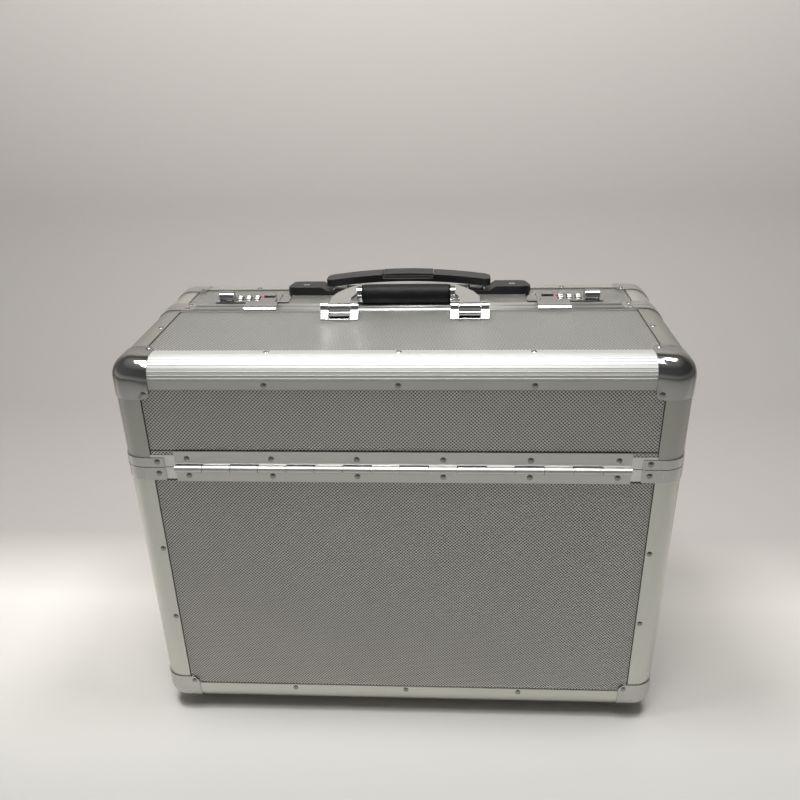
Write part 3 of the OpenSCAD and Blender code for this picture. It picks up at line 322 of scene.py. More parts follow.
def edge_trim_metal(name, base, roughness):
    """The frame's extrusions: lines run along whichever edge of the case a point lies on."""
    trim_x, trim_y = 0.028, 0.0335
    few, many = 18, 1118
    metal = Finish(name, metallic=1.0)
    x, y, z = metal.xyz()
    out_x = abs(x) > HIGH.x - trim_x
    out_y = abs(y) > HIGH.y - trim_y
    upright = out_x * out_y
    level = out_x * (1 - out_y)
    along = metal.vector(x * (few + (many - few) * out_x), y * (many - (many - few) * level),
                         z * (many - (many - few) * upright))
    streaks = metal.clouds(1.0, 2.0, 0.6, along)
    smudge = metal.clouds(18.0, 4.0, 0.6)
    scuff = metal.ramp(metal.clouds(140.0, 6.0, 0.75), (0.62, 0.0), (0.78, 1.0))
    return metal.set(Base_Color=metal.mix(streaks * 0.5 + smudge * 0.4, tone(base, 0.91), tone(base, 1.07)),
                     Roughness=roughness - 0.06 + streaks * 0.10 + smudge * 0.06 + scuff * 0.06,
                     Normal=metal.bump(streaks + scuff * 0.3, LINE_DEPTH, 0.5))


def mirror_metal(name, base, roughness):
    """Polished or pressed metal with a faint haze and small specks."""
    metal = Finish(name, metallic=1.0)
    haze = metal.clouds(35.0, 5.0, 0.65)
    specks = metal.ramp(metal.clouds(420.0, 3.0, 0.6), (0.66, 0.0), (0.74, 1.0))
    return metal.set(Base_Color=metal.mix(haze, tone(base, 0.92), tone(base, 1.06)),
                     Roughness=roughness + haze * 0.05 + specks * 0.10,
                     Normal=metal.bump(haze, 0.00005, 0.25))


def moulded_plastic(name, base, roughness):
    """Fine-grained moulded plastic with patchy wear."""
    plastic = Finish(name, Specular_IOR_Level=0.34)
    texture = plastic.clouds(900.0, 2.0, 0.5)
    wear = plastic.clouds(45.0, 5.0, 0.7)
    return plastic.set(Base_Color=plastic.mix(wear, tone(base, 0.8), tone(base, 1.35)),
                       Roughness=roughness - 0.05 + wear * 0.12,
                       Normal=plastic.bump(texture, 0.00006, 0.5))


def leather():
    """Black leather: fine cells with creases between them."""
    hide = Finish("leather", Specular_IOR_Level=0.20)
    cells = hide.node("ShaderNodeTexVoronoi", {"feature": "DISTANCE_TO_EDGE"},
                      {"Vector": hide.place(), "Scale": 900.0})
    creases = hide.ramp(cells, (0.0, 0.0), (0.10, 1.0))
    soft = hide.clouds(130.0, 5.0, 0.6)
    base = looks("softs").leather
    return hide.set(Base_Color=hide.mix(soft * 0.7 + creases * 0.3, tone(base, 0.6), tone(base, 1.9)),
                    Roughness=0.46 + soft * 0.14 - creases * 0.06,
                    Normal=hide.bump(creases * 0.7 + soft, 0.00012, 0.6))


def lining_cloth():
    """Woven cloth, slightly fuzzy and faded in patches."""
    thread_pitch, facing = 0.0009, 0.6
    cloth = Finish("lining_cloth", Sheen_Weight=0.25, Sheen_Roughness=0.4, Specular_IOR_Level=0.2)
    x, y, z = cloth.xyz()
    turns = 2 * math.pi / thread_pitch
    out = cloth.xyz("Normal")
    nx, nz = (abs(out[i]) > facing for i in (0, 2))
    warp = ((x * (1 - nx) + y * nx) * turns).sin()
    weft = ((z * (1 - nz) + y * nz) * turns).sin()
    weave = warp * weft * 0.5 + 0.5
    fade = cloth.clouds(14.0, 4.0, 0.6)
    fuzz = cloth.clouds(1400.0, 2.0, 0.6)
    base = looks("softs").lining
    patchy = fade * 0.5 + weave * 0.3 + fuzz * 0.2
    return cloth.set(Base_Color=cloth.mix(patchy, tone(base, 0.6), tone(base, 1.7)),
                     Roughness=0.82 + fuzz * 0.12,
                     Normal=cloth.bump(weave + fuzz * 0.5, 0.00018, 0.7))


def thread():
    """Twisted sewing thread."""
    cord = Finish("thread", Specular_IOR_Level=0.3)
    twist = cord.clouds(1600.0, 2.0, 0.5)
    base = looks("softs").thread
    return cord.set(Base_Color=cord.mix(twist, tone(base, 0.6), tone(base, 1.6)),
                    Roughness=0.6 + twist * 0.2, Normal=cord.bump(twist, 0.0001, 0.6))


def rubber():
    """Fine-grained rubber with dust on it."""
    tread = Finish("rubber", Specular_IOR_Level=0.3)
    dust = tread.clouds(60.0, 5.0, 0.7)
    grain = tread.clouds(1100.0, 2.0, 0.5)
    base = looks("softs").rubber
    return tread.set(Base_Color=tread.mix(dust, tone(base, 0.75), tone(base, 1.8)),
                     Roughness=0.66 + dust * 0.2, Normal=tread.bump(grain, 0.0001, 0.6))


def painted(name, base, roughness):
    """Paint with slight wear."""
    paint = Finish(name, Coat_Roughness=0.15)
    wear = paint.clouds(500.0, 4.0, 0.6)
    return paint.set(Base_Color=paint.mix(wear, tone(base, 0.75), tone(base, 1.2)),
                     Roughness=roughness + wear * 0.15, Normal=paint.bump(wear, 0.00002, 0.4))


# ---- Making pieces ----
def dress(finish, *nodes):
    """Gives CAD nodes a finish."""
    for node in nodes:
        slots = frame["nodes"][node].material_slots
        for slot in slots:
            slot.material = finish.material
        if not slots:
            raise RuntimeError(node + " has no material slot")


def placed(name, data):
    """Puts an object in the scene."""
    thing = bpy.data.objects.new(name, data)
    bpy.context.scene.collection.objects.link(thing)
    return thing


def new_piece(name, mesh, body, finish, slot, *nodes):
    """Puts a mesh in the scene as a piece that rides on a body and stands for CAD nodes."""
    piece = placed(name, mesh)
    mesh.materials.append(finish.material)
    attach(piece, body)
    if nodes:
        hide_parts(*nodes)
    return piece


def mesh_from(name, build):
    """A smooth mesh of what a function builds, with its faces turned outwards."""
    shape = bmesh.new()
    build(shape)
    bmesh.ops.recalc_face_normals(shape, faces=shape.faces)
    return mesh_of(name, shape)


def mesh_of(name, shape):
    mesh = bpy.data.meshes.new(name)
    shape.to_mesh(mesh)
    shape.free()
    mesh.shade_smooth()
    return mesh


def worked_out(thing):
    """The mesh that an object's modifiers or its curve give."""
    return bpy.data.meshes.new_from_object(thing.evaluated_get(bpy.context.evaluated_depsgraph_get()))


def curve_mesh(curve):
    path = placed(curve.name, curve)
    mesh = worked_out(path)
    bpy.data.objects.remove(path)
    return mesh


MERGE_DISTANCE = 2e-6
FLAT_ANGLE = math.radians(1.0)
SHARP_ANGLE = math.radians(35)
MOST_CORNERS = 60    # a face with more corners than this is split before its edges are rounded


def softened(node, finish, slot, width, segments=2, has_flats=True):
    """A CAD node again with its sharp edges rounded, as pressed or moulded metal and plastic have."""
    shape = bmesh.new()
    shape.from_mesh(frame["nodes"][node].data)
    bmesh.ops.remove_doubles(shape, verts=shape.verts, dist=MERGE_DISTANCE)
    bmesh.ops.dissolve_limit(shape, angle_limit=FLAT_ANGLE, verts=shape.verts, edges=shape.edges)
    bmesh.ops.triangulate(shape, faces=[face for face in shape.faces if len(face.verts) > MOST_CORNERS])
    name = node + "_softened"
    piece = new_piece(name, mesh_of(name, shape), BODY_OF[node], finish, slot, node)
    bevel = piece.modifiers.new("edges", "BEVEL")
    bevel.width, bevel.segments, bevel.miter_outer = width, segments, "MITER_ARC"
    bevel.limit_method, bevel.angle_limit = "ANGLE", SHARP_ANGLE
    bevel.use_clamp_overlap, bevel.harden_normals = True, not has_flats
    if has_flats:
        piece.modifiers.new("flats", "WEIGHTED_NORMAL").weight = 100
    mesh = worked_out(piece)
    piece.modifiers.clear()
    piece.data = mesh


def ring_loft(shape, rings):
    """Skins a list of closed rings of points and closes both ends."""
    loops = [[shape.verts.new(p) for p in ring] for ring in rings]
    count = len(loops[0])
    for first, second in zip(loops, loops[1:]):
        for i in range(count):
            j = (i + 1) % count
            shape.faces.new((first[i], first[j], second[j], second[i]))
    shape.faces.new(loops[0])
    shape.faces.new(list(reversed(loops[-1])))


# ---- Pieces ----
class PieceOperator:
    bl_options = {"REGISTER"}

    def execute(self, context):
        self.make()
        return {"FINISHED"}


class PILOT_CASE_OT_panels(PieceOperator, bpy.types.Operator):
    """Embossed aluminium on the walls, the lid and the fixed strip"""
    bl_idname, bl_label = "pilot_case.panels", "Embossed panels"

    def make(self):
        dress(embossed_sheet(), "body_front_board", "body_back_board", "body_side_boards",
              "body_bottom_board", "body_top_board", "lid_top_board", "lid_front_board", "lid_side_boards")


class PILOT_CASE_OT_trims(PieceOperator, bpy.types.Operator):
    """Satin edge trims, the bright front top trim and the rims along the split"""
    bl_idname, bl_label = "pilot_case.trims", "Edge trims"

    def make(self):
        metals = looks("metals")
        dress(edge_trim_metal("satin_trim", metals.trim, 0.34),
              "body_upright_trims", "body_bottom_trims", "body_top_trims")
        # Painted shade: the lid's side trims get a darker copy of the trim colour, standing in for the shade
        # and dim reflections they show.
        dress(edge_trim_metal("lid_trim_painted_darker", tone(metals.trim, 0.70), 0.36), "lid_side_trims")
        dress(drawn_metal("ribbed_trim", tone(metals.bright, 0.76), 0.60, 0.35, LONG_LINES_ACROSS),
              "lid_front_trim")
        dress(drawn_metal("bright_rim", metals.bright, 0.34, 0.5, LINES_ACROSS, self.behind_knuckles),
              "body_rim", "lid_rim")

    def behind_knuckles(self, x, y, z):
        """Mask of painted shade on the rims in the notches behind the hinge: 1 there, 0 elsewhere."""
        half_notch, depth = 0.0045, 0.0005
        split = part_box("lid_rim")[0].z
        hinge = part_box("lower_hinge_leaf")[1].x
        return (abs(x) < hinge) * (abs(z - split) < half_notch) * (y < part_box("body_rim")[0].y + depth)


class PILOT_CASE_OT_rim_crowns(PieceOperator, bpy.types.Operator):
    """Rounded faces of both rims, over the top and down the sides to the split"""
    bl_idname, bl_label = "pilot_case.rim_crowns", "Rim crowns"

    height, gap, edge, sunk = 0.0016, 0.0003, 0.0009, 0.0003
    bracket, bracket_on_top = 0.038, 0.0385
    bend, wider, bend_steps, half_steps = 0.006, 0.001, 8, 6

    def make(self):
        body_low, body_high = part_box("body_rim")
        lid_low, lid_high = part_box("lid_rim")
        split_y, split_z = lid_high.y + self.gap, lid_low.z - self.gap
        width = body_high.y - split_y
        top, side, front = body_high.z, body_high.x, body_low.y + self.bracket
        end = HIGH.x - self.bracket_on_top
        self.half = width / 2 - self.edge
        turns = [math.pi / 2 * k / self.bend_steps for k in range(1, self.bend_steps + 1)]
        for name, body, way in (("body_rim_crown", "case", 1), ("lid_rim_crown", "lid", -1)):
            y, z = split_y + way * width / 2, split_z - way * width / 2
            bend = self.bend + way * self.wider

            def crowns(shape):
                self.crown(shape, [(-end, y, top), (end, y, top)], (0, 0, 1))
                for x in (-side, side):
                    path = [(x, front, z), (x, y - bend, z)]
                    path += [(x, y - bend * (1 - math.sin(a)), z + bend * (1 - math.cos(a))) for a in turns]
                    path.append((x, y, top - self.bracket))
                    self.crown(shape, path, (math.copysign(1, x), 0, 0))

            new_piece(name, mesh_from(name, crowns), body, Finish.made["bright_rim"], "bright_trim")

    def crown(self, shape, path, outward):
        """One rounded strip along a path."""
        outward = Vector(outward)
        points = [Vector(p) for p in path]
        round_r = (self.half ** 2 + self.height ** 2) / (2 * self.height)
        rings = []
        for i, point in enumerate(points):
            ahead = (points[min(i + 1, len(points) - 1)] - points[max(i - 1, 0)]).normalized()
            across = ahead.cross(outward)
            ring = []
            for k in range(2 * self.half_steps + 1):
                u = self.half * (k / self.half_steps - 1)
                lift = math.sqrt(round_r ** 2 - u * u) - round_r + self.height
                ring.append(point + across * u + outward * lift)
            ring += [ring[-1] - outward * self.sunk, ring[0] - outward * self.sunk]
            rings.append(ring)
        ring_loft(shape, rings)


class PILOT_CASE_OT_corners(PieceOperator, bpy.types.Operator):
    """Steel corners, the lid's polished ball corners and the split brackets"""
    bl_idname, bl_label = "pilot_case.corners", "Corners"

    def make(self):
        metals = looks("metals")
        steel = mirror_metal("corner_steel", metals.corner, 0.24)
        for node in ("bottom_corners", "top_rear_corners", "body_split_brackets", "lid_split_brackets"):
            softened(node, steel, "corner_steel", 0.0003)
        # Painted shade: the ball corners get a darker copy of the chrome, standing in for the dark room they
        # mirror.
        ball = mirror_metal("ball_chrome_painted_darker", tone(metals.chrome, 0.68), 0.05)
        softened("lid_ball_corners", ball, "polished_chrome", 0.0003, has_flats=False)


class PILOT_CASE_OT_rivets(PieceOperator, bpy.types.Operator):
    """Rivets, screws and pins"""
    bl_idname, bl_label = "pilot_case.rivets", "Rivets and pins"

    def make(self):
        dress(mirror_metal("rivet_steel", looks("metals").rivet, 0.22), "body_rivets", "lid_rivets")
        dress(mirror_metal("pin_steel", looks("metals").hinge, 0.20),
              "bezel_screws", "hinge_pin", "handle_pins", "wheel_axles", "release_rods", "dial_shafts")


class PILOT_CASE_OT_hinge(PieceOperator, bpy.types.Operator):
    """The piano hinge's two leaves"""
    bl_idname, bl_label = "pilot_case.hinge", "Piano hinge"

    def make(self):
        dress(drawn_metal("hinge_steel", looks("metals").hinge, 0.38, 0.4, LINES_ACROSS),
              "lower_hinge_leaf", "upper_hinge_leaf")


class PILOT_CASE_OT_locks(PieceOperator, bpy.types.Operator):
    """Lock cases, face plates, slides, hasps and the marks by the dials"""
    bl_idname, bl_label = "pilot_case.locks", "Locks"

    def make(self):
        chrome = mirror_metal("lock_chrome", tone(looks("metals").chrome, 0.85), 0.12)
        for node in ("lock_plates", "left_lock_slide", "right_lock_slide", "lock_hasps"):
            softened(node, chrome, "polished_chrome", 0.0004)
        dress(Finish.made["black_plastic"], "lock_cases")
        dress(painted("red_mark", looks("softs").mark, 0.35), "lock_indicators")


class PILOT_CASE_OT_carry_handle(PieceOperator, bpy.types.Operator):
    """Brackets and bow of the carry handle"""
    bl_idname, bl_label = "pilot_case.carry_handle", "Carry handle"

    def make(self):
        chrome = mirror_metal("handle_chrome", looks("metals").chrome, 0.06)
        for node in ("handle_brackets", "carry_bow"):
            softened(node, chrome, "polished_chrome", 0.0006, segments=3)


class PILOT_CASE_OT_trolley(PieceOperator, bpy.types.Operator):
    """Telescopic tubes, their blocks, the bezel and the pull grip"""
    bl_idname, bl_label = "pilot_case.trolley", "Trolley"

    def make(self):
        dress(drawn_metal("tube_aluminium", looks("metals").tube, 0.28, 1.0, LINES_UP),
              "trolley_outer_tubes", "trolley_middle_tubes", "trolley_upper_tubes")
        plastic = looks("softs").plastic
        black = moulded_plastic("black_plastic", plastic, 0.42)
        grip = moulded_plastic("grip_plastic", plastic, 0.36)
        dress(black, "trolley_base_blocks", "wheel_housings")
        softened("trolley_bezel", black, "black_plastic", 0.0012, segments=3)
        softened("pull_grip", grip, "grip_plastic", 0.0014, segments=3)
        softened("release_button", black, "black_plastic", 0.0007)


class PILOT_CASE_OT_wheels(PieceOperator, bpy.types.Operator):
    """Wheels and feet"""
    bl_idname, bl_label = "pilot_case.wheels", "Wheels and feet"

    def make(self):
        hub = moulded_plastic("wheel_plastic", tone(looks("softs").plastic, 2.2), 0.45)
        tyre = rubber()
        for side in ("left", "right"):
            softened(side + "_wheel_hub", hub, "wheel_plastic", 0.0006)
            softened(side + "_wheel_tyre", tyre, "foot_rubber", 0.0012, segments=3)
        softened("rubber_feet", tyre, "foot_rubber", 0.0012, segments=3)


class PILOT_CASE_OT_carry_grip(PieceOperator, bpy.types.Operator):
    """Leather roll of the carry handle, with rolled ends and a stitched seam underneath"""
    bl_idname, bl_label = "pilot_case.carry_grip", "Leather carry grip"

    stations, sides, seam = 72, 72, math.radians(250)
    end_roll, swell, ridge, crease = 0.0022, 0.035, 0.00028, 0.00018
    stitch_row, stitch_thick, stitch_rings, stitch_sides, stitch_gap = 0.13, 0.00034, 7, 8, 1.35

    def make(self):
        low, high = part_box("carry_grip")
        self.middle = (low + high) / 2
        self.half, self.radius = (high.x - low.x) / 2, (high.z - low.z) / 2
        roll = new_piece("leather_grip", mesh_from("leather_grip", self.roll), "carry_handle", leather(),
                         "grip_leather", "carry_grip")
        new_piece("grip_stitches", mesh_from("grip_stitches", self.stitches), "carry_handle", thread(),
                  "grip_leather")

    def surface(self, x, angle):
        """Radius of the leather at a place along the roll and round it."""
        end = max(0.0, abs(x) - self.half + self.end_roll) / self.end_roll
        fullness = 1 - self.swell + self.swell * math.cos(math.pi * x / (2 * self.half))
        radius = self.radius * fullness - self.end_roll * (1 - math.sqrt(max(0.0, 1 - end * end)))
        turn = (angle - self.seam + math.pi) % (2 * math.pi) - math.pi
        lips, groove = math.exp(-((abs(turn) - 0.12) / 0.07) ** 2), math.exp(-(turn / 0.025) ** 2)
        radius += self.ridge * (lips - 1.6 * groove)
        wrinkle = field.noise(Vector((x * 90, math.cos(angle) * 2.2, math.sin(angle) * 2.2)))
        return radius + self.crease * wrinkle * (1 - end)

    def point(self, x, angle, lift=0.0):
        radius = self.surface(x, angle) + lift
        return self.middle + Vector((x, radius * math.cos(angle), radius * math.sin(angle)))

    def roll(self, shape):
        rings = []
        for k in range(self.stations + 1):
            x = -self.half * math.cos(math.pi * k / self.stations)
            rings.append([self.point(x, 2 * math.pi * i / self.sides) for i in range(self.sides)])
        ring_loft(shape, rings)

    def stitches(self, shape):
        """Two rows of short threads, one on each side of the seam."""
        stitch = looks("softs").stitch
        step = stitch * self.stitch_gap
        bare_ends, slant, proud = 0.008, 0.02, 0.00002
        count = int((2 * self.half - bare_ends) / step)
        turns = [2 * math.pi * i / self.stitch_sides for i in range(self.stitch_sides)]
        for row in (-self.stitch_row, self.stitch_row):
            out = Vector((0, math.cos(self.seam + row), math.sin(self.seam + row)))
            side = Vector((1, 0, 0)).cross(out)
            for k in range(count):
                start = (k - count / 2 + 0.15) * step
                rings = []
                for j in range(self.stitch_rings):
                    t = j / (self.stitch_rings - 1)
                    thick = self.stitch_thick * math.sqrt(max(0.02, 1 - (2 * t - 1) ** 4))
                    centre = self.point(start + t * stitch, self.seam + row + slant * (t - 0.5), proud)
                    rings.append([centre + thick * (math.cos(a) * out + math.sin(a) * side) for a in turns])
                ring_loft(shape, rings)


class PILOT_CASE_OT_linings(PieceOperator, bpy.types.Operator):
    """Quilted linings of the body and the lid, with a rolled binding along their upper edges"""
    bl_idname, bl_label = "pilot_case.linings", "Quilted linings"

    cell, thick, room, edge = 0.0045, 0.0020, 0.0003, 0.010
    roll, sunk, clear = 0.0013, 0.001, 0.0002

    def make(self):
        cloth = lining_cloth()
        low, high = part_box("body_liner")
        lid_low, lid_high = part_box("lid_liner")
        step_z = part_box("body_front_board")[1].z - self.clear
        step_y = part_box("body_top_board")[0].y + self.clear

        def body(shape):
            self.pad(shape, (low.x, low.y, low.z), "xy", (high.x - low.x, high.y - low.y), (0, 0, 1))
            self.pad(shape, (low.x, low.y, low.z), "xz", (high.x - low.x, step_z - low.z), (0, 1, 0))
            self.pad(shape, (low.x, high.y, low.z), "xz", (high.x - low.x, high.z - low.z), (0, -1, 0))
            for x, way in ((low.x, 1), (high.x, -1)):
                self.pad(shape, (x, low.y, low.z), "yz", (high.y - low.y, step_z - low.z), (way, 0, 0))
                self.pad(shape, (x, step_y, step_z), "yz", (high.y - step_y, high.z - step_z), (way, 0, 0))

        def lid(shape):
            size = lid_high - lid_low
            self.pad(shape, (lid_low.x, lid_low.y, lid_high.z), "xy", (size.x, size.y), (0, 0, -1))
            self.pad(shape, tuple(lid_low), "xz", (size.x, size.z), (0, 1, 0))
            for x, way in ((lid_low.x, 1), (lid_high.x, -1)):
                self.pad(shape, (x, lid_low.y, lid_low.z), "yz", (size.y, size.z), (way, 0, 0))

        for name, build, ride_on, node in (("body_lining", body, "case", "body_liner"),
                                           ("lid_lining", lid, "lid", "lid_liner")):
            lining = new_piece(name, mesh_from(name, build), ride_on, cloth, "liner_cloth", node)

        inset = self.thick / 2
        left, right, front, back = low.x + inset, high.x - inset, low.y + inset, high.y - inset
        step, shelf, top = step_y + self.sunk, step_z - self.sunk, high.z - self.sunk
        self.binding("body_binding", "case", [
            (left, back, top), (left, step, top), (left, step, shelf), (left, front, shelf),
            (right, front, shelf), (right, step, shelf), (right, step, top), (right, back, top)])
        left, right, front = lid_low.x + inset, lid_high.x - inset, lid_low.y + inset
        back, base, top = lid_high.y - self.sunk, lid_low.z + self.sunk, lid_high.z - self.sunk
        self.binding("lid_binding", "lid", [
            (left, back, top), (left, back, base), (left, front, base), (right, front, base),
            (right, back, base), (right, back, top), (left, back, top)])

    def pad(self, shape, corner, plane, size, inward):
        """A quilted slab: its back on the wall, its face swelling inwards between diamond seams."""
        quilt, puff = looks("softs").quilt, looks("softs").puff
        axes = [Vector([float(axis == letter) for axis in "xyz"]) for letter in plane]
        inward, corner = Vector(inward), Vector(corner)
        counts = [max(2, round(s / self.cell)) for s in size]

        def puffed(a, b):
            share = 1.0
            for t in ((a + b) / quilt, (a - b) / quilt):
                share *= 1 - abs(2 * (t % 1.0) - 1) ** 5
            to_edge = min(a, b, size[0] - a, size[1] - b)
            return puff * share * min(1.0, to_edge / self.edge)

        sheets = []
        for face in (0, 1):
            rows = []
            for i in range(counts[0] + 1):
                a = size[0] * i / counts[0]
                row = []
                for j in range(counts[1] + 1):
                    b = size[1] * j / counts[1]
                    lift = (self.thick - self.room + puffed(a, b)) * face
                    row.append(shape.verts.new(corner + axes[0] * a + axes[1] * b + inward * lift))
                rows.append(row)
            sheets.append(rows)
        for rows in sheets:
            for i in range(counts[0]):
                for j in range(counts[1]):
                    shape.faces.new((rows[i][j], rows[i + 1][j], rows[i + 1][j + 1], rows[i][j + 1]))
        rim = [(i, 0) for i in range(counts[0])] + [(counts[0], j) for j in range(counts[1])]
        rim += [(i, counts[1]) for i in range(counts[0], 0, -1)] + [(0, j) for j in range(counts[1], 0, -1)]
        for (i, j), (k, m) in zip(rim, rim[1:] + rim[:1]):
            shape.faces.new((sheets[0][i][j], sheets[0][k][m], sheets[1][k][m], sheets[1][i][j]))

    def binding(self, name, body, points):
        """A rolled strip of the lining's cloth sewn over its free edges."""
        curve = bpy.data.curves.new(name, "CURVE")
        curve.dimensions, curve.use_fill_caps = "3D", True
        curve.bevel_depth, curve.bevel_resolution = self.roll, 3
        line = curve.splines.new("POLY")
        line.points.add(len(points) - 1)
        for knot, place in zip(line.points, points):
            knot.co = (*place, 1)
        mesh = curve_mesh(curve)
        mesh.materials.clear()
        mesh.shade_smooth()
        new_piece(name, mesh, body, Finish.made["lining_cloth"], "liner_cloth")


class PILOT_CASE_OT_dials(PieceOperator, bpy.types.Operator):
    """Number dials: a fluted ring with a raised number on each flat"""
    bl_idname, bl_label = "pilot_case.dials", "Number dials"

    play, flute, steps = 0.0003, 0.00055, 12
    profile = ((-1, 0.0007), (-0.94, 0.00035), (-0.74, 0.0), (0.74, 0.0), (0.94, 0.00035), (1, 0.0007))

    def make(self):
        metal = mirror_metal("dial_metal", tone(looks("metals").corner, 0.85), 0.36)
        ink = painted("dial_ink", looks("dials").ink, 0.4)
        low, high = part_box("left_dial_middle")
        self.width, self.radius = high.x - low.x - self.play, (high.y - low.y) / 2
        mesh = mesh_from("number_dial", self.ring)
        self.add_numbers(mesh)
        mesh.materials.append(metal.material)
        mesh.materials.append(ink.material)
        for side in ("left", "right"):
            for place in ("inner", "middle", "outer"):
                node = f"{side}_dial_{place}"
                low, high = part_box(node)
                dial = placed(node + "_numbered", mesh)
                dial.location = (low + high) / 2
                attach(dial, BODY_OF[node])
                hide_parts(node)

    def ring(self, shape):
        """The dial without numbers: bevelled ends, and a flute between each flat and the next."""
        digits = looks("dials").digits
        rings = []
        for share, inset in self.profile:
            ring = []
            for i in range(self.steps * digits):
                a = 2 * math.pi * i / (self.steps * digits)
                radius = self.radius - inset - self.flute * max(0.0, -math.cos(a * digits)) ** 3
                ring.append((share * self.width / 2, radius * math.sin(a), radius * math.cos(a)))
            rings.append(ring)
        ring_loft(shape, rings)

    def add_numbers(self, mesh):
        """Bends a raised number onto each flat."""
        sizes = looks("dials")
        shape = bmesh.new()
        shape.from_mesh(mesh)
        for number in range(sizes.digits):
            letter = bpy.data.curves.new("number", "FONT")
            letter.body, letter.size, letter.extrude = str(number), sizes.number, 0.00008
            letter.align_x, letter.align_y, letter.resolution_u = "CENTER", "CENTER", 3
            start, first = len(shape.verts), len(shape.faces)
            shape.from_mesh(curve_mesh(letter))
            shape.verts.ensure_lookup_table()
            shape.faces.ensure_lookup_table()
            for vert in shape.verts[start:]:
                u, v, lift = vert.co
                angle = v / self.radius + 2 * math.pi * number / sizes.digits
                radius = self.radius + lift
                vert.co = (u, radius * math.sin(angle), radius * math.cos(angle))
            for face in shape.faces[first:]:
                face.material_index, face.smooth = 1, False
        shape.to_mesh(mesh)
        shape.free()


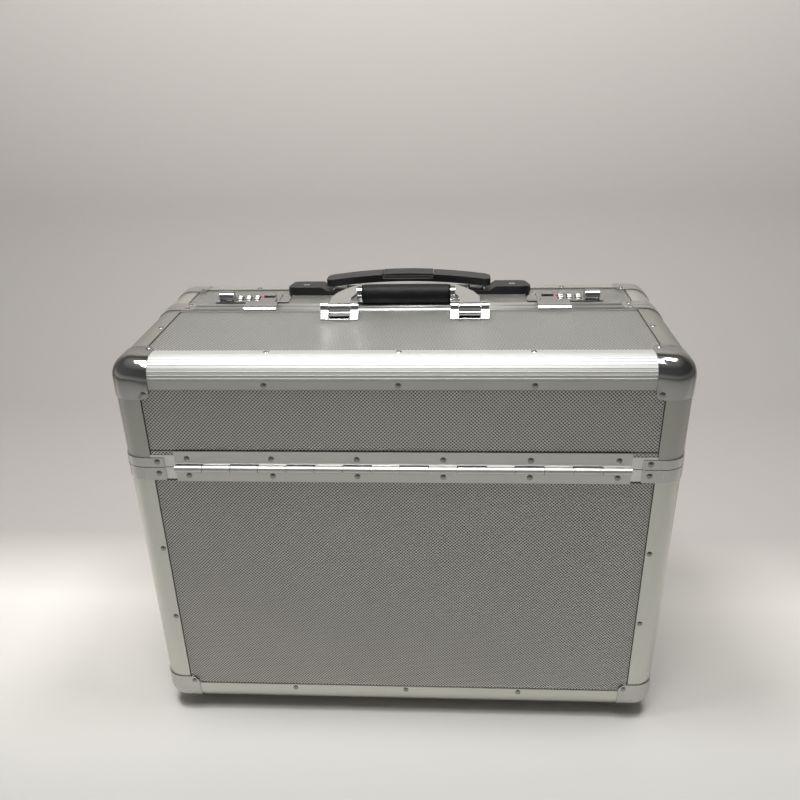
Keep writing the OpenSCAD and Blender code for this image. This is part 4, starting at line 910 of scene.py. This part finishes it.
class PILOT_CASE_OT_stage(PieceOperator, bpy.types.Operator):
    """Floor, backdrop, lamps and camera"""
    bl_idname, bl_label = "pilot_case.stage", "Studio"

    # name, place, size, share of the lamps' strength
    overhead = (("left_lamp", (-0.40, -0.14, 1.80), 0.36, 1.00),
                ("middle_lamp", (-0.04, -0.50, 1.86), 0.50, 1.00),
                ("right_lamp", (0.42, -0.08, 1.85), 0.36, 0.80))
    lamps_face = Vector((0, 0, 0.2))
    # height in the room from the floor, 0, to overhead, 1, and the level of light there
    room_levels = ((0.0, 0.32), (0.53, 0.32), (0.62, 0.13), (0.85, 0.13), (1.0, 0.40))
    warmth, leftwards = 0.98, 0.45
    camera_at = Vector((0.04115, -0.71466, 0.60057))
    yaw, pitch, roll = -0.0638, 0.4787, -0.0243

    def make(self):
        self.sweep()
        self.lamps()
        self.room()
        self.camera()

    def sweep(self):
        """The floor, which bends up into the backdrop."""
        reach, front, bend, back, height, steps = 3.2, -4.0, 0.30, 0.62, 3.5, 24
        profile = [(front, 0.0)]
        profile += [(back + bend * math.sin(a), bend * (1 - math.cos(a)))
                    for a in (math.pi / 2 * k / steps for k in range(steps + 1))]
        profile.append((back + bend, height))

        def build(shape):
            lines = [[shape.verts.new((x, y, z)) for y, z in profile] for x in (-reach, reach)]
            for i in range(len(profile) - 1):
                shape.faces.new((lines[0][i], lines[1][i], lines[1][i + 1], lines[0][i + 1]))

        ground = placed("sweep", mesh_from("sweep", build))
        ground.data.materials.append(self.paper().material)

    def paper(self):
        """Painted shade on the floor in front of the case and to its right; painted light makes it paler far
        out to the front and the sides.
        """
        paper = Finish("sweep_paper", roughness=0.85, Specular_IOR_Level=0.2)
        tones = looks("stage")
        x, y, z = paper.xyz()
        # Painted shade: the floor is darker to the right of the case.
        painted_right_shade = paper.ramp(x * 0.5 + 0.5, (0.30, 1.0), (0.66, 0.0))
        behind = paper.ramp(y * 0.5 + 0.6, (0.635, 0.0), (0.705, 1.0))
        # Painted shade: away from the case, towards the front, the floor takes the darker front colour.
        under = paper.ramp(y * 0.5 + 0.6, (0.47, 0.0), (0.63, 1.0))
        rise = paper.ramp(z * 0.8, (0.0, 0.0), (0.7, 1.0))
        floor = paper.mix(under, tones.front, paper.mix(painted_right_shade, tone(tones.floor, 0.78), tones.floor))
        wall = paper.mix(rise, tone(tones.wall, 0.62), tones.wall)
        # Painted light: far out to the front and the sides the floor glows, for the camera only, in place of
        # lamp light that falls off.
        far_front = paper.ramp(abs(y) * 0.25, (0.13, 0.0), (0.60, 1.0))
        far_side = paper.ramp(abs(x) * 0.3, (0.20, 0.0), (0.85, 1.0))
        seen = paper.node("ShaderNodeLightPath", out="Is Camera Ray")
        painted_far_light = seen * far_front.most(far_side) * (1 - behind)
        return paper.set(Base_Color=paper.mix(behind, floor, wall),
                         Emission_Color=paper.mix(painted_far_light, (0, 0, 0), tone(tones.floor, 0.50)),
                         Emission_Strength=1.0)

    def lamps(self):
        strength = looks("stage").lamp
        for name, place, size, share in self.overhead:
            light = bpy.data.lights.new(name, "AREA")
            light.shape, light.size, light.energy = "SQUARE", size, strength * share
            lamp = placed(name, light)
            lamp.location = place
            lamp.rotation_euler = (self.lamps_face - Vector(place)).to_track_quat("-Z", "Y").to_euler()

    def room(self):
        """What metal mirrors: pale walls and ceiling with a dim band between, brighter on the left."""
        world = bpy.data.worlds.new("room")
        world.use_nodes = True
        bpy.context.scene.world = world
        room = Graph(world.node_tree)
        x, _, z = room.xyz("Generated")
        stops = [(place, (level, level, level * self.warmth)) for place, level in self.room_levels]
        seen = room.node("ShaderNodeLightPath", out="Is Camera Ray")
        shown = room.mix(seen, room.ramp(z * 0.5 + 0.5, *stops), tone(looks("stage").wall, 0.75))
        strength = room.node("ShaderNodeMix", inputs={0: seen, 2: 1.0 - x * self.leftwards, 3: 1.0})
        background = world.node_tree.nodes["Background"]
        room.feed(background.inputs["Color"], shown)
        room.feed(background.inputs["Strength"], strength)

    def camera(self):
        sin_yaw, cos_yaw = math.sin(self.yaw), math.cos(self.yaw)
        sin_pitch, cos_pitch = math.sin(self.pitch), math.cos(self.pitch)
        sin_roll, cos_roll = math.sin(self.roll), math.cos(self.roll)
        ahead = Vector((sin_yaw * cos_pitch, cos_yaw * cos_pitch, -sin_pitch))
        level = Vector((cos_yaw, -sin_yaw, 0))
        above = level.cross(ahead)
        right = cos_roll * level + sin_roll * above
        up = cos_roll * above - sin_roll * level
        lens = bpy.data.cameras.new("camera")
        lens.sensor_width, lens.lens = 36.0, 37.04
        lens.shift_x, lens.shift_y = -0.00375, 0.06875
        camera = placed("camera", lens)
        turned = Matrix((right, up, -ahead)).transposed().to_4x4()
        camera.matrix_world = Matrix.Translation(self.camera_at) @ turned
        bpy.context.scene.camera = camera


OPERATORS = (
    PILOT_CASE_OT_stage,
    PILOT_CASE_OT_panels,
    PILOT_CASE_OT_trims,
    PILOT_CASE_OT_rim_crowns,
    PILOT_CASE_OT_corners,
    PILOT_CASE_OT_rivets,
    PILOT_CASE_OT_hinge,
    PILOT_CASE_OT_trolley,
    PILOT_CASE_OT_wheels,
    PILOT_CASE_OT_carry_handle,
    PILOT_CASE_OT_carry_grip,
    PILOT_CASE_OT_linings,
    PILOT_CASE_OT_locks,
    PILOT_CASE_OT_dials,
)


class PILOT_CASE_PT_sidebar(bpy.types.Panel):
    """Lists the case's finishes and the buttons that make its pieces"""
    bl_idname, bl_label = "PILOT_CASE_PT_sidebar", "Pilot Case"
    bl_space_type, bl_region_type, bl_category = "VIEW_3D", "UI", "Pilot Case"

    def draw(self, context):
        for group, kind in GROUPS.items():
            box = self.layout.box()
            for name in kind.__annotations__:
                box.prop(looks(group), name)
        for operator in OPERATORS:
            self.layout.operator(operator.bl_idname)


CLASSES = (*GROUPS.values(), *OPERATORS, PILOT_CASE_PT_sidebar)


def register():
    for kind in CLASSES:
        bpy.utils.register_class(kind)
    for group, kind in GROUPS.items():
        setattr(bpy.types.Scene, "pilot_case_" + group, PointerProperty(type=kind))


def unregister():
    for group in GROUPS:
        delattr(bpy.types.Scene, "pilot_case_" + group)
    for kind in reversed(CLASSES):
        bpy.utils.unregister_class(kind)


def main():
    register()
    bpy.context.scene.view_settings.view_transform = "Standard"
    for operator in OPERATORS:
        getattr(bpy.ops.pilot_case, operator.bl_idname.split(".")[1])()


if __name__ == "__main__":
    main()
